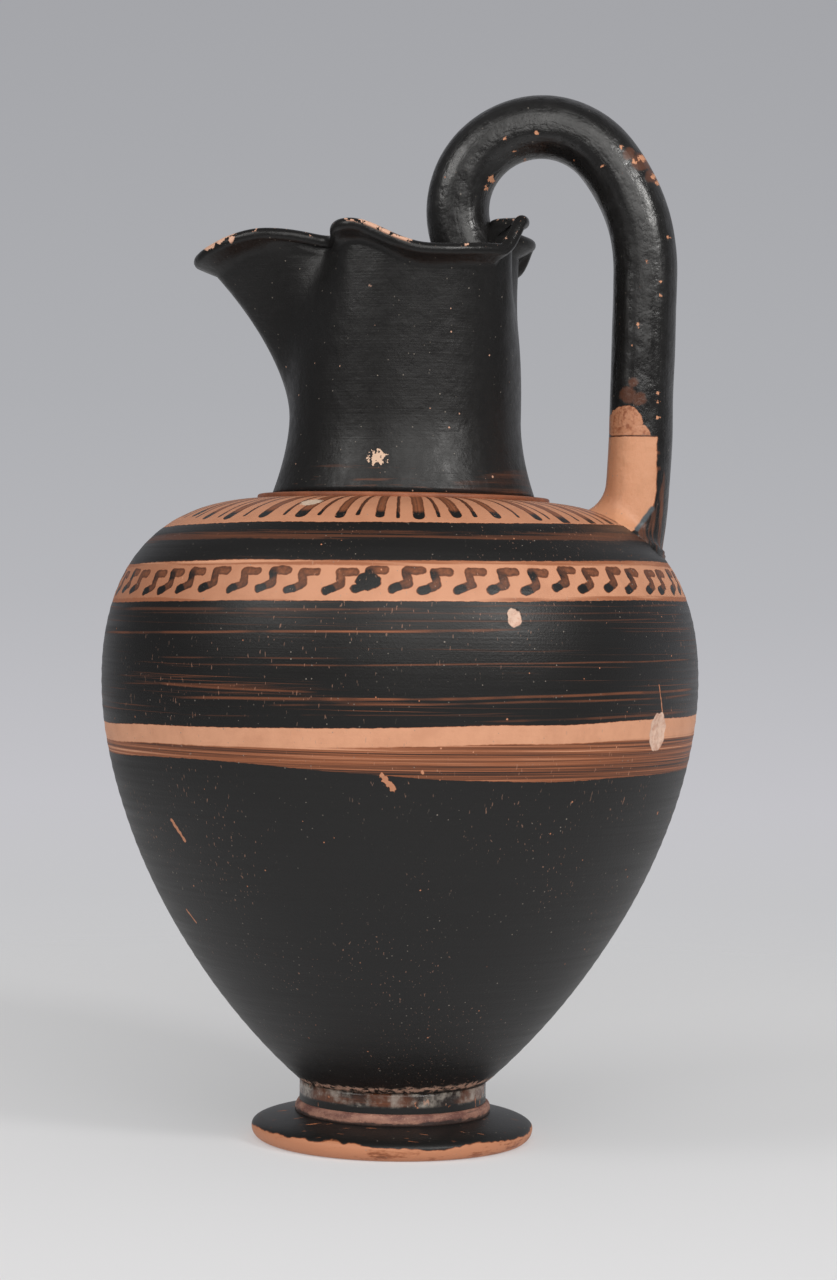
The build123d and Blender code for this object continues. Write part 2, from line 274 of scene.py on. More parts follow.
class Surface(Tree):
    """Material of a piece, with the place of the point that it colours, in millimetres and degrees."""

    def __init__(self, name: str) -> None:
        """Start the material and read the place from Object coordinates.

        Args:
            name: The material's name.
        """
        super().__init__(bpy.data.materials.new(name))
        self.spot = self.mapped(self.out(self.node("ShaderNodeTexCoord"), "Object"), (1 / MM,) * 3)
        self.x, self.y, self.z = self.parts("ShaderNodeSeparateXYZ", self.spot)
        self.radius = self.length(self.x, self.y)
        self.angle = self.math("ARCTAN2", self.y, self.x) * (180 / math.pi)
        inputs = {0: self.spot, 1: (1.0, 0.0, 1.0)}
        self.flat = self.out(self.node("ShaderNodeVectorMath", {"operation": "MULTIPLY"}, inputs))
        near = self.radius | 1.0
        inputs = {0: self.x / near, 1: self.y / near, 2: self.z}
        self.ring = self.out(self.node("ShaderNodeCombineXYZ", inputs=inputs))

    def cloud(
        self, scale: float, detail: float = 2.0, rough: float = 0.5, where: Value | None = None
    ) -> Value:
        """Cloudy noise from about 0.25 to 0.75.

        Args:
            scale: How many features fit into one unit.
            detail: Octaves of finer noise.
            rough: Strength of the finer noise.
            where: Vector at which it is read, if not at the place itself.

        Returns:
            The noise.
        """
        inputs = {"Vector": where or self.spot, "Scale": scale, "Detail": detail, "Roughness": rough}
        return self.out(self.node("ShaderNodeTexNoise", inputs=inputs), "Fac")

    def brushed(self, turns: float, steps: float, detail: float = 2.0, rough: float = 0.5) -> Value:
        """Noise drawn out into the marks that a brush leaves round the turning jug.

        Args:
            turns: How much it changes round the jug.
            steps: How much it changes per millimetre of height.
            detail: Octaves of finer noise.
            rough: Strength of the finer noise.

        Returns:
            The noise, which closes on itself round the axis.
        """
        return self.cloud(1.0, detail, rough, self.mapped(self.ring, (turns, turns, steps)))

    def level_noise(self, scale: float, own: float, detail: float) -> Value:
        """Noise that is the same at every height, set apart from others by a number of its own."""
        return self.cloud(1.0, detail, where=self.mapped(self.spot, (scale, scale, 0.0), own))

    def fine_rings(self) -> Value:
        """Relief of the fine lines that turning leaves round the jug."""
        return self.brushed(0.6, 1.9, 3.0, 0.6)

    def cells(self, scale: float) -> tuple[Value, Value]:
        """Scattered cells.

        Args:
            scale: How many fit into a millimetre.

        Returns:
            The distance from the nearest cell's centre, and a number of that cell's own from 0 to 1.
        """
        made = self.node("ShaderNodeTexVoronoi", inputs={"Vector": self.spot, "Scale": scale})
        own = self.parts("ShaderNodeSeparateColor", self.out(made, "Color"))[0]
        return self.out(made, "Distance"), own

    def blots(self, spots: Sequence[Spot]) -> Value:
        """Distance from the edge of the nearest round spot, as seen along Y and negative inside it.

        Args:
            spots: x, height and radius of each spot.

        Returns:
            The distance.
        """

        def edges() -> Iterator[Value]:
            """Measure from the edge of each spot.

            Yields:
                The distance.
            """
            for x, height, radius in spots:
                inputs = {0: self.flat, 1: (x, 0.0, height)}
                far = self.node("ShaderNodeVectorMath", {"operation": "DISTANCE"}, inputs)
                yield self.out(far, "Value") - radius

        return smallest(edges())

    def spot_distance(self, angle: float, height: float, radius: float, tall: float = 1.0) -> Value:
        """Distance along the surface from a spot, in millimetres of width.

        Args:
            angle: The spot's angle.
            height: Its height.
            radius: Radius of the surface there.
            tall: How many times taller than wide the spot is.

        Returns:
            The distance.
        """
        across = (self.angle - angle) * (radius * math.pi / 180)
        return self.length(across, (self.z - height) / tall)

    def finish(
        self, colour: Value, roughness: Number, relief: Value, depth: float, shine: float = 0.36
    ) -> bpy.types.Material:
        """Close the material with a fired clay surface.

        Args:
            colour: Base colour.
            roughness: Roughness.
            relief: Height of the fine relief, from 0 to 1.
            depth: Height in millimetres that a relief of 1 stands for.
            shine: How strongly the surface reflects when seen face on.

        Returns:
            The material.
        """
        bump = self.node("ShaderNodeBump", inputs={"Strength": 1.0, "Distance": depth * MM, "Height": relief})
        inputs = {"Base Color": colour, "Roughness": roughness, "Normal": self.out(bump)}
        inputs["Specular IOR Level"] = shine
        shader = self.node("ShaderNodeBsdfPrincipled", inputs=inputs)
        self.node("ShaderNodeOutputMaterial", inputs={"Surface": self.out(shader)})
        return self.owner


@dataclass(frozen=True)
class Slip:
    """Clay slip that fires black where it is thick and orange-brown where it is thin."""

    clay: Colour = (0.7, 0.345, 0.205)
    wash: Colour = (0.32, 0.106, 0.044)
    thin: Colour = (0.13, 0.045, 0.021)
    black: Colour = (0.0105, 0.01, 0.0098)
    chip: Colour = (0.72, 0.5, 0.39)
    dust: Colour = (0.25, 0.215, 0.18)
    clay_roughness: float = 0.56
    slip_roughness: float = 0.4
    stages: tuple[float, ...] = (0.0, 0.3, 0.55, 0.82)
    dust_per_mm: float = 0.75
    dust_size: float = 0.19

    def colour(self, at: Surface, thickness: Value) -> Value:
        """Colour of the fired slip, from bare clay (thickness 0) to full black (1)."""
        colours = (self.clay, self.wash, self.thin, self.black)
        return at.ramp(thickness, list(zip(self.stages, colours)))

    def dusted(self, at: Surface, colour: Value, amount: float) -> Value:
        """A colour with fine pale dust on it.

        Args:
            at: The surface.
            colour: The colour without dust.
            amount: Share of the places that have a grain.

        Returns:
            The dusted colour.
        """
        distance, own = at.cells(self.dust_per_mm)
        reach = self.dust_size * at.smooth(own, 1.0 - amount, 1.0)
        grains = at.smooth(distance, reach, reach * 0.5)
        patches = 0.25 + 0.75 * at.smooth(at.cloud(0.05, 3.0), 0.4, 0.65)
        return at.mix(grains * patches, colour, self.dust)

    def roughness(self, thickness: Value) -> Value:
        """Roughness that falls from bare clay to thick slip."""
        return self.clay_roughness + thickness * (self.slip_roughness - self.clay_roughness)

    def specks(self, at: Surface, spacing: float, share: float, size: float) -> Value:
        """Mask of small losses in the slip.

        Args:
            at: The surface.
            spacing: Distance between the places where one may be.
            share: Share of those places that have one.
            size: Radius as a share of the spacing.

        Returns:
            The mask.
        """
        distance, own = at.cells(1 / spacing)
        distance = distance + (at.cloud(1.2) - 0.5) * (size * 1.6)
        reach = size * at.smooth(own, 1.0 - share, 1.0)
        return at.smooth(distance, reach, reach * 0.55)


def curve(start: Point, first: Point, second: Point, end: Point, steps: int) -> list[Point]:
    """Points of a cubic curve, both ends among them.

    Args:
        start: Where it starts.
        first: Where its start pulls to.
        second: Where its end pulls from.
        end: Where it ends.
        steps: Number of steps.

    Returns:
        The points.
    """
    points = []
    for step in range(steps + 1):
        share = step / steps
        rest = 1 - share
        weights = (rest**3, 3 * rest**2 * share, 3 * rest * share**2, share**3)
        knots = (start, first, second, end)
        points.append(tuple(sum(w * knot[axis] for w, knot in zip(weights, knots)) for axis in range(2)))
    return points


def straight(start: Point, end: Point, steps: int) -> list[Point]:
    """Evenly spaced points of a straight line, without its start."""
    shares = [step / steps for step in range(1, steps + 1)]
    return [(start[0] + (end[0] - start[0]) * s, start[1] + (end[1] - start[1]) * s) for s in shares]


def swept(start: Point, angle: float, length: float) -> Point:
    """The point at a length and an angle from another."""
    turn = math.radians(angle)
    return start[0] + length * math.cos(turn), start[1] + length * math.sin(turn)


def eased(stations: Sequence[Station], angle: float) -> float:
    """Value at an angle on either side of the handle, eased between stations.

    Args:
        stations: (angle from the handle, value) pairs.
        angle: Where the value is wanted.

    Returns:
        The value.
    """
    turn = abs((angle + 180) % 360 - 180)
    for (start, first), (end, last) in zip(stations, stations[1:]):
        if turn <= end:
            share = (1 - math.cos(math.pi * (turn - start) / (end - start))) / 2
            return first + (last - first) * share
    return stations[-1][1]


def humps(point: Vector, *waves: Wave) -> float:
    """Smooth unevenness of hand work at a point, as a sum of (height, size) waves in millimetres."""
    return sum(height * noise.noise(point / (size * MM)) for height, size in waves)


def column(count: int) -> list[Point]:
    """Outline of a plain column with a ring at each millimetre of height, for a piece shaped ring by ring."""
    return [(COLUMN_RADIUS, float(index)) for index in range(count)]


def pushed(point: Vector, distance: float) -> Vector:
    """A point moved away from the jug's axis by a distance in millimetres."""
    return point + Vector((point.x, point.y, 0)).normalized() * (distance * MM)


class Turning:
    """A mesh turned from an outline, then shaped point by point."""

    weld_distance: float = 0.002
    chip_margin: float = 2.5
    chip_cuts: int = 3
    chip_edge: Wave = (0.3, 1.7)
    chip_floor: Wave = (0.5, 1.1)

    def __init__(self, name: str, outline: Sequence[Point], steps: int) -> None:
        """Draw the outline by extruding one point along it, and spin it round the axis.

        Args:
            name: Name of the piece.
            outline: (radius, height) points.
            steps: Number of steps round the axis.
        """
        bpy.ops.mesh.primitive_plane_add(size=2 * MM)
        self.item = bpy.context.object
        self.item.name = name
        self.item.data.name = name
        self.edit()
        bpy.ops.mesh.merge(type="CENTER")
        last = (0.0, 0.0)
        for index, (radius, height) in enumerate(outline):
            step = ((radius - last[0]) * MM, 0, (height - last[1]) * MM)
            if index == 0:
                bpy.ops.transform.translate(value=step)
            else:
                bpy.ops.mesh.extrude_vertices_move(TRANSFORM_OT_translate={"value": step})
            last = (radius, height)
        bpy.ops.mesh.select_all(action="SELECT")
        bpy.ops.mesh.spin(steps=steps, angle=math.tau, center=(0, 0, 0), axis=(0, 0, 1))
        bpy.ops.mesh.select_all(action="SELECT")
        bpy.ops.mesh.remove_doubles(threshold=self.weld_distance * MM)
        bpy.ops.mesh.normals_make_consistent(inside=False)
        bpy.ops.object.mode_set(mode="OBJECT")

    def edit(self) -> None:
        """Open the piece's mesh for editing, with all of it and nothing else selected."""
        bpy.ops.object.select_all(action="DESELECT")
        self.item.select_set(True)
        bpy.context.view_layer.objects.active = self.item
        bpy.ops.object.mode_set(mode="EDIT")
        bpy.ops.mesh.select_all(action="SELECT")

    def shape(self, move: Callable[[Vector], Vector]) -> None:
        """Move every point of the mesh.

        Args:
            move: Function that gives a point's new place.
        """
        for vertex in self.item.data.vertices:
            vertex.co = move(vertex.co.copy())
        self.item.data.update()

    def chip(self, centre: Vector, size: float, depth: float) -> None:
        """Break a shallow chip out of the surface.

        Args:
            centre: Middle of the chip.
            size: Its radius in millimetres.
            depth: Its depth in millimetres.
        """
        self.edit()
        bpy.ops.mesh.select_all(action="DESELECT")
        mesh = bmesh.from_edit_mesh(self.item.data)
        reach = (size + self.chip_margin) * MM
        out = Vector((centre.x, centre.y, 0))
        turn = math.atan2(out.y, out.x)
        for face in mesh.faces:
            middle = face.calc_center_median()
            across = (math.atan2(middle.y, middle.x) - turn) * out.length
            if abs(across) < reach and abs(middle.z - centre.z) < reach and face.normal.dot(out) > 0:
                face.select_set(True)
        bmesh.update_edit_mesh(self.item.data)
        bpy.ops.mesh.subdivide(number_cuts=self.chip_cuts, smoothness=0.0)
        mesh = bmesh.from_edit_mesh(self.item.data)
        mesh.normal_update()
        for vertex in mesh.verts:
            far = (vertex.co - centre).length / MM
            edge = size * (1 + humps(vertex.co, self.chip_edge))
            if far < edge:
                share = min(1.0, (edge - far) / (0.35 * size))
                uneven = 0.75 + humps(vertex.co, self.chip_floor)
                vertex.co -= vertex.normal * (depth * MM * share * uneven)
        bmesh.update_edit_mesh(self.item.data)
        bpy.ops.object.mode_set(mode="OBJECT")

    def close(self, slot: Slot, material: bpy.types.Material, *nodes: Node) -> None:
        """Finish the piece and put it into the shared frame.

        Args:
            slot: Not used.
            material: Its material.
            nodes: CAD nodes that it stands for.
        """
        self.edit()
        bpy.ops.mesh.normals_make_consistent(inside=False)
        bpy.ops.object.mode_set(mode="OBJECT")
        bpy.ops.object.shade_smooth()
        self.item.data.materials.clear()
        self.item.data.materials.append(material)
        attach(self.item, BODY)
        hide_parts(*(node.value for node in nodes))
        LOG.info("%s: %d faces", self.item.name, len(self.item.data.polygons))


@dataclass(frozen=True)
class Chip:
    """A place where the surface has broken away."""

    angle: float
    height: float
    size: float
    tall: float
    depth: float


@dataclass(frozen=True)
class Scar:
    """A scratch in the slip, from one (angle, height) to another."""

    start: Point
    end: Point
    width: float


@dataclass(frozen=True)
class Streak:
    """A line round the belly where the brush has left the slip thin, on both sides of the jug."""

    height: float
    half_width: float
    strength: float
    start: float
    end: float
    fall: float = 0.0


@dataclass
class Body:
    """Thrown belly and shoulder with its painted bands."""

    stem_radius: float = 25.0
    stem_top: float = 15.6
    belly_radius: float = 79.5
    belly_height: float = 123.0
    shoulder_height: float = 170.6
    ring_radius: float = 38.9
    bore: float = 31.2
    wall: float = 4.5
    floor: float = 6.0
    floor_corner: float = 2.0
    base_angle: float = 41.0
    base_pull: float = 37.6
    pull_below: float = 38.5
    fullness: float = 0.54
    shoulder_slope: float = 3.5
    shoulder_pull: float = 30.0
    turns: int = 300
    lower_steps: int = 72
    upper_steps: int = 48
    inner_steps: int = 14
    even_inside: float = 20.0
    ridge_height: float = 0.05
    ridge_rate: float = 1.9
    waves: tuple[Wave, ...] = ((0.22, 55.0), (0.06, 14.0))
    chips: tuple[Chip, ...] = (
        Chip(-63.1, 140.5, 1.75, 1.2, 0.5),
        Chip(-27.6, 112.0, 4.0, 1.2, 0.6),
    )

    def wall_curves(self, inset: float, lower_steps: int, upper_steps: int) -> list[Point]:
        """Outline of the wall from its base to the shoulder's edge.

        Args:
            inset: Distance inwards from the outside.
            lower_steps: Steps below the belly.
            upper_steps: Steps above it.

        Returns:
            The (radius, height) points.
        """
        shrink = 1 - inset / self.belly_radius
        base = swept((self.stem_radius, self.stem_top), self.base_angle + 90, inset)
        belly = (self.belly_radius - inset, self.belly_height)
        top = swept((self.ring_radius, self.shoulder_height), -90 - self.shoulder_slope, inset)
        rise = (self.shoulder_height - self.belly_height) * self.fullness * shrink
        opening = swept(base, self.base_angle, self.base_pull * shrink)
        lower = curve(base, opening, (belly[0], belly[1] - self.pull_below * shrink), belly, lower_steps)
        closing = swept(top, -self.shoulder_slope, self.shoulder_pull * shrink)
        upper = curve(belly, (belly[0], belly[1] + rise), closing, top, upper_steps)
        return lower + upper[1:]

    def outline(self) -> list[Point]:
        """Section of the wall: underside, outside, seat, bore, inside and floor.

        Returns:
            The (radius, height) points.
        """
        outside = self.wall_curves(0, self.lower_steps, self.upper_steps)
        inside = self.wall_curves(self.wall, self.inner_steps, self.inner_steps)
        inner_floor = self.stem_top + self.floor
        hollow = [point for point in reversed(inside) if point[1] > inner_floor]
        return [
            (0.0, self.stem_top),
            *straight((0.0, self.stem_top), outside[0], 3),
            *outside[1:],
            (self.bore, self.shoulder_height),
            (self.bore, hollow[0][1]),
            *hollow,
            (hollow[-1][0] - self.floor_corner, inner_floor),
            (0.0, inner_floor),
        ]

    def surface(self, height: float) -> float:
        """Radius of the outside at a height."""
        points = self.wall_curves(0, self.lower_steps, self.upper_steps)
        return min(points, key=lambda point: abs(point[1] - height))[0]

    def distance(self, point: Vector) -> float:
        """Signed distance from the outside near the shoulder.

        Args:
            point: The point.

        Returns:
            The distance in millimetres, positive outside.
        """
        radius = math.hypot(point.x, point.y) / MM
        height = point.z / MM
        points = self.wall_curves(0, 2, self.upper_steps)[2:]
        near = min(range(1, len(points)), key=lambda i: math.dist(points[i], (radius, height)))
        (r0, z0), (r1, z1) = points[near - 1], points[near]
        length = math.dist((r0, z0), (r1, z1))
        return ((radius - r0) * (z1 - z0) - (height - z0) * (r1 - r0)) / length

    def uneven(self, point: Vector) -> Vector:
        """Give a point of the wall the slight unevenness of hand throwing.

        Args:
            point: The point as turned.

        Returns:
            The moved point.
        """
        if math.hypot(point.x, point.y) < self.even_inside * MM:
            return point
        turn = math.atan2(point.y, point.x)
        ridges = self.ridge_height * math.sin(point.z / MM * self.ridge_rate + turn)
        return pushed(point, humps(point, *self.waves) + ridges)

    def build(self) -> Turning:
        """Turn the body and break its chips.

        Returns:
            The mesh.
        """
        made = Turning("body", self.outline(), self.turns)
        made.shape(self.uneven)
        for chip in self.chips:
            centre = (*swept((0.0, 0.0), chip.angle, self.surface(chip.height)), chip.height)
            made.chip(Vector(centre) * MM, chip.size, chip.depth)
        return made

    def dress(self, made: Turning) -> None:
        """Give the body's mesh its painted slip."""
        made.close(Slot.BODY, BandedSlip(self).material(), Node.BODY_WALL)


@dataclass(frozen=True)
class BandedSlip:
    """The body's paint: tongues on the shoulder, a band of hooked strokes, streaks and plain stripes."""

    body: Body
    slip: Slip = Slip()
    tongue_count: int = 36
    tongue_low: float = 163.6
    tongue_end: float = 58.6
    tongue_kinds: tuple[Spot, ...] = ((0.0, 1.3, 0.42), (0.5, 0.42, 0.5))
    brown_band: Point = (159.2, 161.6)
    stroke_band: Point = (143.8, 153.9)
    stroke_middle: float = 148.9
    stroke_radius: float = 67.0
    stroke_count: int = 56
    stroke_knots: tuple[Point, ...] = ((3.2, 2.2), (-0.2, 2.2), (0.4, -0.9), (-3.0, -2.3))
    plain_stripe: Point = (108.6, 113.2)
    wash_low: Point = (105.1, 99.0)
    tilt: Point = (0.018, 0.028)
    crust: Point = (-18.3, -47.6)
    blotted: Spot = (-90.3, 148.7, 69.5)
    worn_line: Point = (16.1, 17.3)
    broken_clay: Colour = (0.58, 0.34, 0.25)
    crust_colour: Colour = (0.6, 0.47, 0.36)
    lines: tuple[Streak, ...] = (
        Streak(142.0, 0.55, 0.34, 78.0, 160.0),
        Streak(142.6, 0.2, 0.3, 8.0, 78.0),
        Streak(141.0, 0.2, 0.3, 20.0, 150.0),
        Streak(137.0, 0.3, 0.5, 62.0, 165.0, -1.2),
        Streak(139.1, 0.14, 0.34, 20.0, 92.0),
        Streak(130.2, 0.16, 0.36, 92.0, 140.0),
        Streak(128.4, 0.16, 0.45, 8.0, 132.0),
        Streak(125.4, 0.14, 0.4, 118.0, 150.0),
        Streak(123.6, 0.14, 0.36, 105.0, 150.0),
        Streak(121.9, 0.3, 0.5, 97.0, 141.0, 2.2),
        Streak(120.3, 0.35, 0.52, 8.0, 128.0),
        Streak(118.9, 0.25, 0.42, 8.0, 110.0),
        Streak(116.2, 0.12, 0.3, 60.0, 140.0),
        Streak(114.5, 0.35, 0.4, 5.0, 70.0),
    )
    scars: tuple[Scar, ...] = (
        Scar((-87.0, 101.6), (-85.0, 98.6), 0.75),
        Scar((-28.5, 124.0), (-26.6, 116.5), 0.22),
        Scar((-135.6, 87.6), (-133.0, 82.6), 0.5),
        Scar((-143.6, 63.5), (-141.6, 60.4), 0.3),
    )

    def level(self, at: Surface) -> Value:
        """Height above the plane that the bands are parallel to, which was not quite level."""
        slant = self.tilt[0] + (self.tilt[1] - self.tilt[0]) * at.smooth(at.z, 140.0, 116.0)
        return at.z - at.x * slant

    def tongues(self, at: Surface) -> Iterator[Value]:
        """Slip thickness of the broad and of the thin strokes that run out from the neck.

        Args:
            at: The surface.

        Yields:
            The thickness of each kind.
        """
        for shift, half_width, strength in self.tongue_kinds:
            turn = at.angle * (self.tongue_count / 360) + shift
            cell = at.math("FLOOR", turn + 0.5)
            one, two, three = at.draws(cell + (300.0 + shift))
            lean = (at.radius - 50.0) * ((two - 0.5) * 0.012)
            across = (turn - cell + (one - 0.5) * 0.2 + lean) * (at.radius * (math.tau / self.tongue_count))
            wobble = (at.cloud(0.35) - 0.5) * 0.5
            end = self.tongue_end + three * 1.8
            beyond = (at.radius - end) | 0.0
            width = half_width * (0.75 + 0.5 * two)
            far = at.length(across, beyond) + wobble
            mask = at.smooth(far, width + 0.25, width - 0.2)
            pool = at.smooth(at.radius, end - 3.2, end - 0.6)
            edge = at.smooth(far, width - 0.75, width - 0.1) * 0.2
            streak = (at.grain(across * 2.2 + cell * 31.0) - 0.5) * 0.35
            yield mask * (strength + edge + streak + pool * 0.5)

    def hooked_strokes(self, at: Surface) -> Iterator[Value]:
        """Slip thickness of every other stroke of the running row, then of those between them.

        Args:
            at: The surface.

        Yields:
            The thickness of each half of the row.
        """
        pitch = math.tau * self.stroke_radius / self.stroke_count
        bend_x = (at.cloud(0.33) - 0.5) * 1.1
        bend_z = (at.cloud(0.33, where=at.mapped(at.spot, (1.0, 1.0, 1.0), 57.0)) - 0.5) * 1.1
        for shift in (0.0, 0.5):
            turn = at.angle * (self.stroke_count / 720) + shift
            cell = at.math("FLOOR", turn + 0.5)
            one, two, three = at.draws(cell + (700.0 + shift))
            across = (turn - cell) * (2 * pitch) + (one - 0.5) * 1.9 + bend_x
            up = self.level(at) - self.stroke_middle + (two - 0.5) + bend_z
            lean = 0.85 + 0.35 * three
            runs = zip(self.stroke_knots, self.stroke_knots[1:])
            far = smallest(at.segment_gap(across, up, start, end) for start, end in runs)
            width = 0.84 + 0.21 * lean
            mask = at.smooth(far, width + 0.18, width - 0.22)
            pool = at.smooth(at.length(across + 2.3, up + 2.2), 1.7, 0.7)
            fold = at.smooth(at.length(across + 0.4, up - 1.4), 2.0, 0.6) * (three * 0.4)
            edge = at.smooth(far, width - 0.75, width - 0.12) * 0.12
            blot = at.smooth(one, 0.94, 0.99) * 0.5
            uneven = (at.cloud(1.1, 3.0) - 0.5) * 0.35
            sunk = at.smooth(up, 1.5, -2.0) * 0.12
            yield mask * (0.46 + sunk + edge + pool * 0.5 + fold + blot + uneven)

    def brush_lines(self, at: Surface) -> Iterator[Value]:
        """How far each brush line has thinned the black of the belly.

        Args:
            at: The surface.

        Yields:
            The loss of thickness along each line.
        """
        turn = abs(at.angle)
        height = self.level(at)
        for index, line in enumerate(self.lines):
            swing = at.level_noise(0.02, index * 5.3, 1.0) - 0.5
            slope = line.fall / (line.end - line.start)
            far = abs(height - swing - (turn - line.start) * slope - line.height)
            broken = 0.6 + 0.4 * at.smooth(at.level_noise(0.05, index * 9.1, 3.0), 0.35, 0.55)
            ends = at.band(turn, line.start, line.end, 11.0)
            mark = at.smooth(far, line.half_width * 1.2 + 0.25, line.half_width * 0.3)
            yield mark * broken * ends * line.strength

    def streaks(self, at: Surface) -> Value:
        """How far the brush has thinned the black of the belly in all.

        Args:
            at: The surface.

        Returns:
            The loss of thickness.
        """
        lines = largest(self.brush_lines(at))
        hairs = at.smooth(at.brushed(0.7, 2.9, 3.0, 0.65), 0.53, 0.7) * 0.5
        patches = at.smooth(at.brushed(1.1, 0.13), 0.4, 0.62)
        return lines | hairs * patches

    def thickness(self, at: Surface) -> Value:
        """Slip thickness all over the body.

        Args:
            at: The surface.

        Returns:
            The thickness, 0 for bare clay and 1 for black.
        """
        swing = (at.cloud(0.02, 1.0) - 0.5) * 1.6
        ragged = (at.cloud(0.6, 3.0) - 0.5) * 0.45
        z = self.level(at) + swing + ragged
        fine = at.brushed(1.3, 1.6, 4.0, 0.6)
        black = 1.02 - at.smooth(fine, 0.56, 0.74) * 0.22
        brown_band = at.band(z, *self.brown_band, 0.5) * at.smooth(fine, 0.3, 0.5) * 0.38
        brown_edge = at.smooth(z, 155.3, 153.8) * 0.25
        shoulder = at.band(z, self.stroke_band[1], self.tongue_low, 0.16) * (black - brown_band - brown_edge)
        belly = at.band(z, self.plain_stripe[1], self.stroke_band[0], 0.16) * (black - self.streaks(at))
        left, right = self.wash_low
        wash_low = left + (right - left) * at.smooth(abs(at.angle), 128.0, 52.0)
        lower = at.smooth(z, wash_low + 0.25, wash_low - 0.2) * black
        hairs = at.brushed(0.6, 1.9, 3.0, 0.7)
        deepen = at.smooth(z, self.plain_stripe[0], wash_low)
        wash = at.smooth(z, self.plain_stripe[0] + 0.15, self.plain_stripe[0] - 0.35)
        towards_handle = 0.07 * at.smooth(abs(at.angle), 95.0, 60.0)
        wash = wash * (0.3 + 0.17 * deepen + towards_handle + (hairs - 0.5) * 2.0)
        tongues = largest(self.tongues(at)) * at.smooth(z, self.tongue_low, self.tongue_low + 0.4)
        inside = at.band(self.level(at), self.stroke_band[0] + 0.4, self.stroke_band[1] - 0.4, 0.2)
        strokes = largest(self.hooked_strokes(at)) * inside
        rim_wash = at.band(z, 152.6, 154.2, 0.35) | at.band(z, 143.6, 145.0, 0.35)
        rim_wash = rim_wash * at.smooth(at.brushed(1.4, 0.5), 0.4, 0.55) * 0.28
        blot = at.spot_distance(*self.blotted, 0.72) + ragged * 3.0
        strokes = strokes | at.smooth(blot, 3.3, 2.7)
        ground = at.smooth(z, self.tongue_low, self.tongue_low + 0.3) * 0.12
        ground = ground | inside * (0.06 + 0.14 * at.smooth(abs(at.angle), 92.0, 150.0))
        return shoulder | belly | lower | wash | tongues | strokes | rim_wash | ground

    def scratches(self, at: Surface) -> Iterator[Value]:
        """Mask of each single scratch.

        Args:
            at: The surface.

        Yields:
            The masks.
        """
        for scar in self.scars:
            width = self.body.surface(scar.start[1]) * math.pi / 180
            across = (at.angle - scar.start[0]) * width
            reach = ((scar.end[0] - scar.start[0]) * width, scar.end[1])
            gap = at.segment_gap(across, at.z, (0.0, scar.start[1]), reach)
            gap = gap + (at.cloud(0.9) - 0.5) * (scar.width * 2.4)
            yield at.smooth(gap, scar.width + 0.12, scar.width - 0.1)

    def chips(self, at: Surface) -> Iterator[Value]:
        """Mask of each chip.

        Args:
            at: The surface.

        Yields:
            The masks.
        """
        for chip in self.body.chips:
            far = at.spot_distance(chip.angle, chip.height, self.body.surface(chip.height), chip.tall)
            far = far + (at.cloud(0.55) - 0.5) * 1.5
            yield at.smooth(far, chip.size + 0.2, chip.size - 0.1)

    def material(self) -> bpy.types.Material:
        """Make the body's material.

        Returns:
            The material.
        """
        at = Surface("banded_slip")
        thickness = self.thickness(at)
        losses = self.slip.specks(at, 2.6, 0.16, 0.13) | self.slip.specks(at, 7.0, 0.18, 0.09)
        losses = losses | largest(self.scratches(at))
        slanted = at.mapped(at.spot, (0.6, 0.5, 0.15), 0.0, (0.0, 0.45, 0.0))
        scratches = at.smooth(at.cloud(3.2, 1.0, where=slanted), 0.7, 0.74)
        scratches = scratches * at.smooth(at.cloud(0.03, 3.0), 0.38, 0.6)
        thickness = thickness * (1 - losses * 0.85) * (1 - scratches * 0.5)
        scraped = at.z - at.x * 0.02 + (at.cloud(0.35, 4.0, 0.7) - 0.5) * 3.4
        worn_line = at.band(scraped, *self.worn_line, 0.5) * at.smooth(at.cloud(0.8, 3.0), 0.38, 0.55)
        thickness = thickness * (1 - worn_line * 0.75)
        colour = self.slip.colour(at, thickness)
        colour = at.mix(worn_line * 0.6, colour, self.slip.chip)
        colour = at.mix(scratches * 0.3, colour, self.slip.dust)
        mottle = at.smooth(at.cloud(0.16, 4.0, 0.6), 0.35, 0.75) * at.smooth(thickness, 0.5, 0.2)
        colour = at.mix(mottle * 0.2, colour, self.slip.wash)
        broken = largest(self.chips(at))
        pale = at.mix(at.smooth(at.cloud(0.7, 3.0), 0.4, 0.7), self.slip.chip, self.broken_clay)
        colour = at.mix(broken, colour, pale)
        far = at.length(at.x - self.crust[0], at.y - self.crust[1])
        far = far + (at.cloud(1.1, 3.0, 0.7) - 0.5) * 5.0
        crust = at.smooth(far, 3.0, 2.4) * at.smooth(at.z, 160.0, 163.0)
        colour = at.mix(crust * 0.9, colour, self.crust_colour)
        colour = self.slip.dusted(at, colour, 0.35)
        broken = broken | crust
        roughness = self.slip.roughness(thickness) + (at.brushed(1.5, 0.9, 3.0) - 0.5) * 0.16
        roughness = roughness + at.smooth(at.z, 106.0, 100.0) * 0.06 + broken * 0.3
        relief = at.cloud(1.6, 4.0, 0.6) * 0.6 + at.fine_rings() * 0.4
        return at.finish(colour, roughness, relief, 0.09)


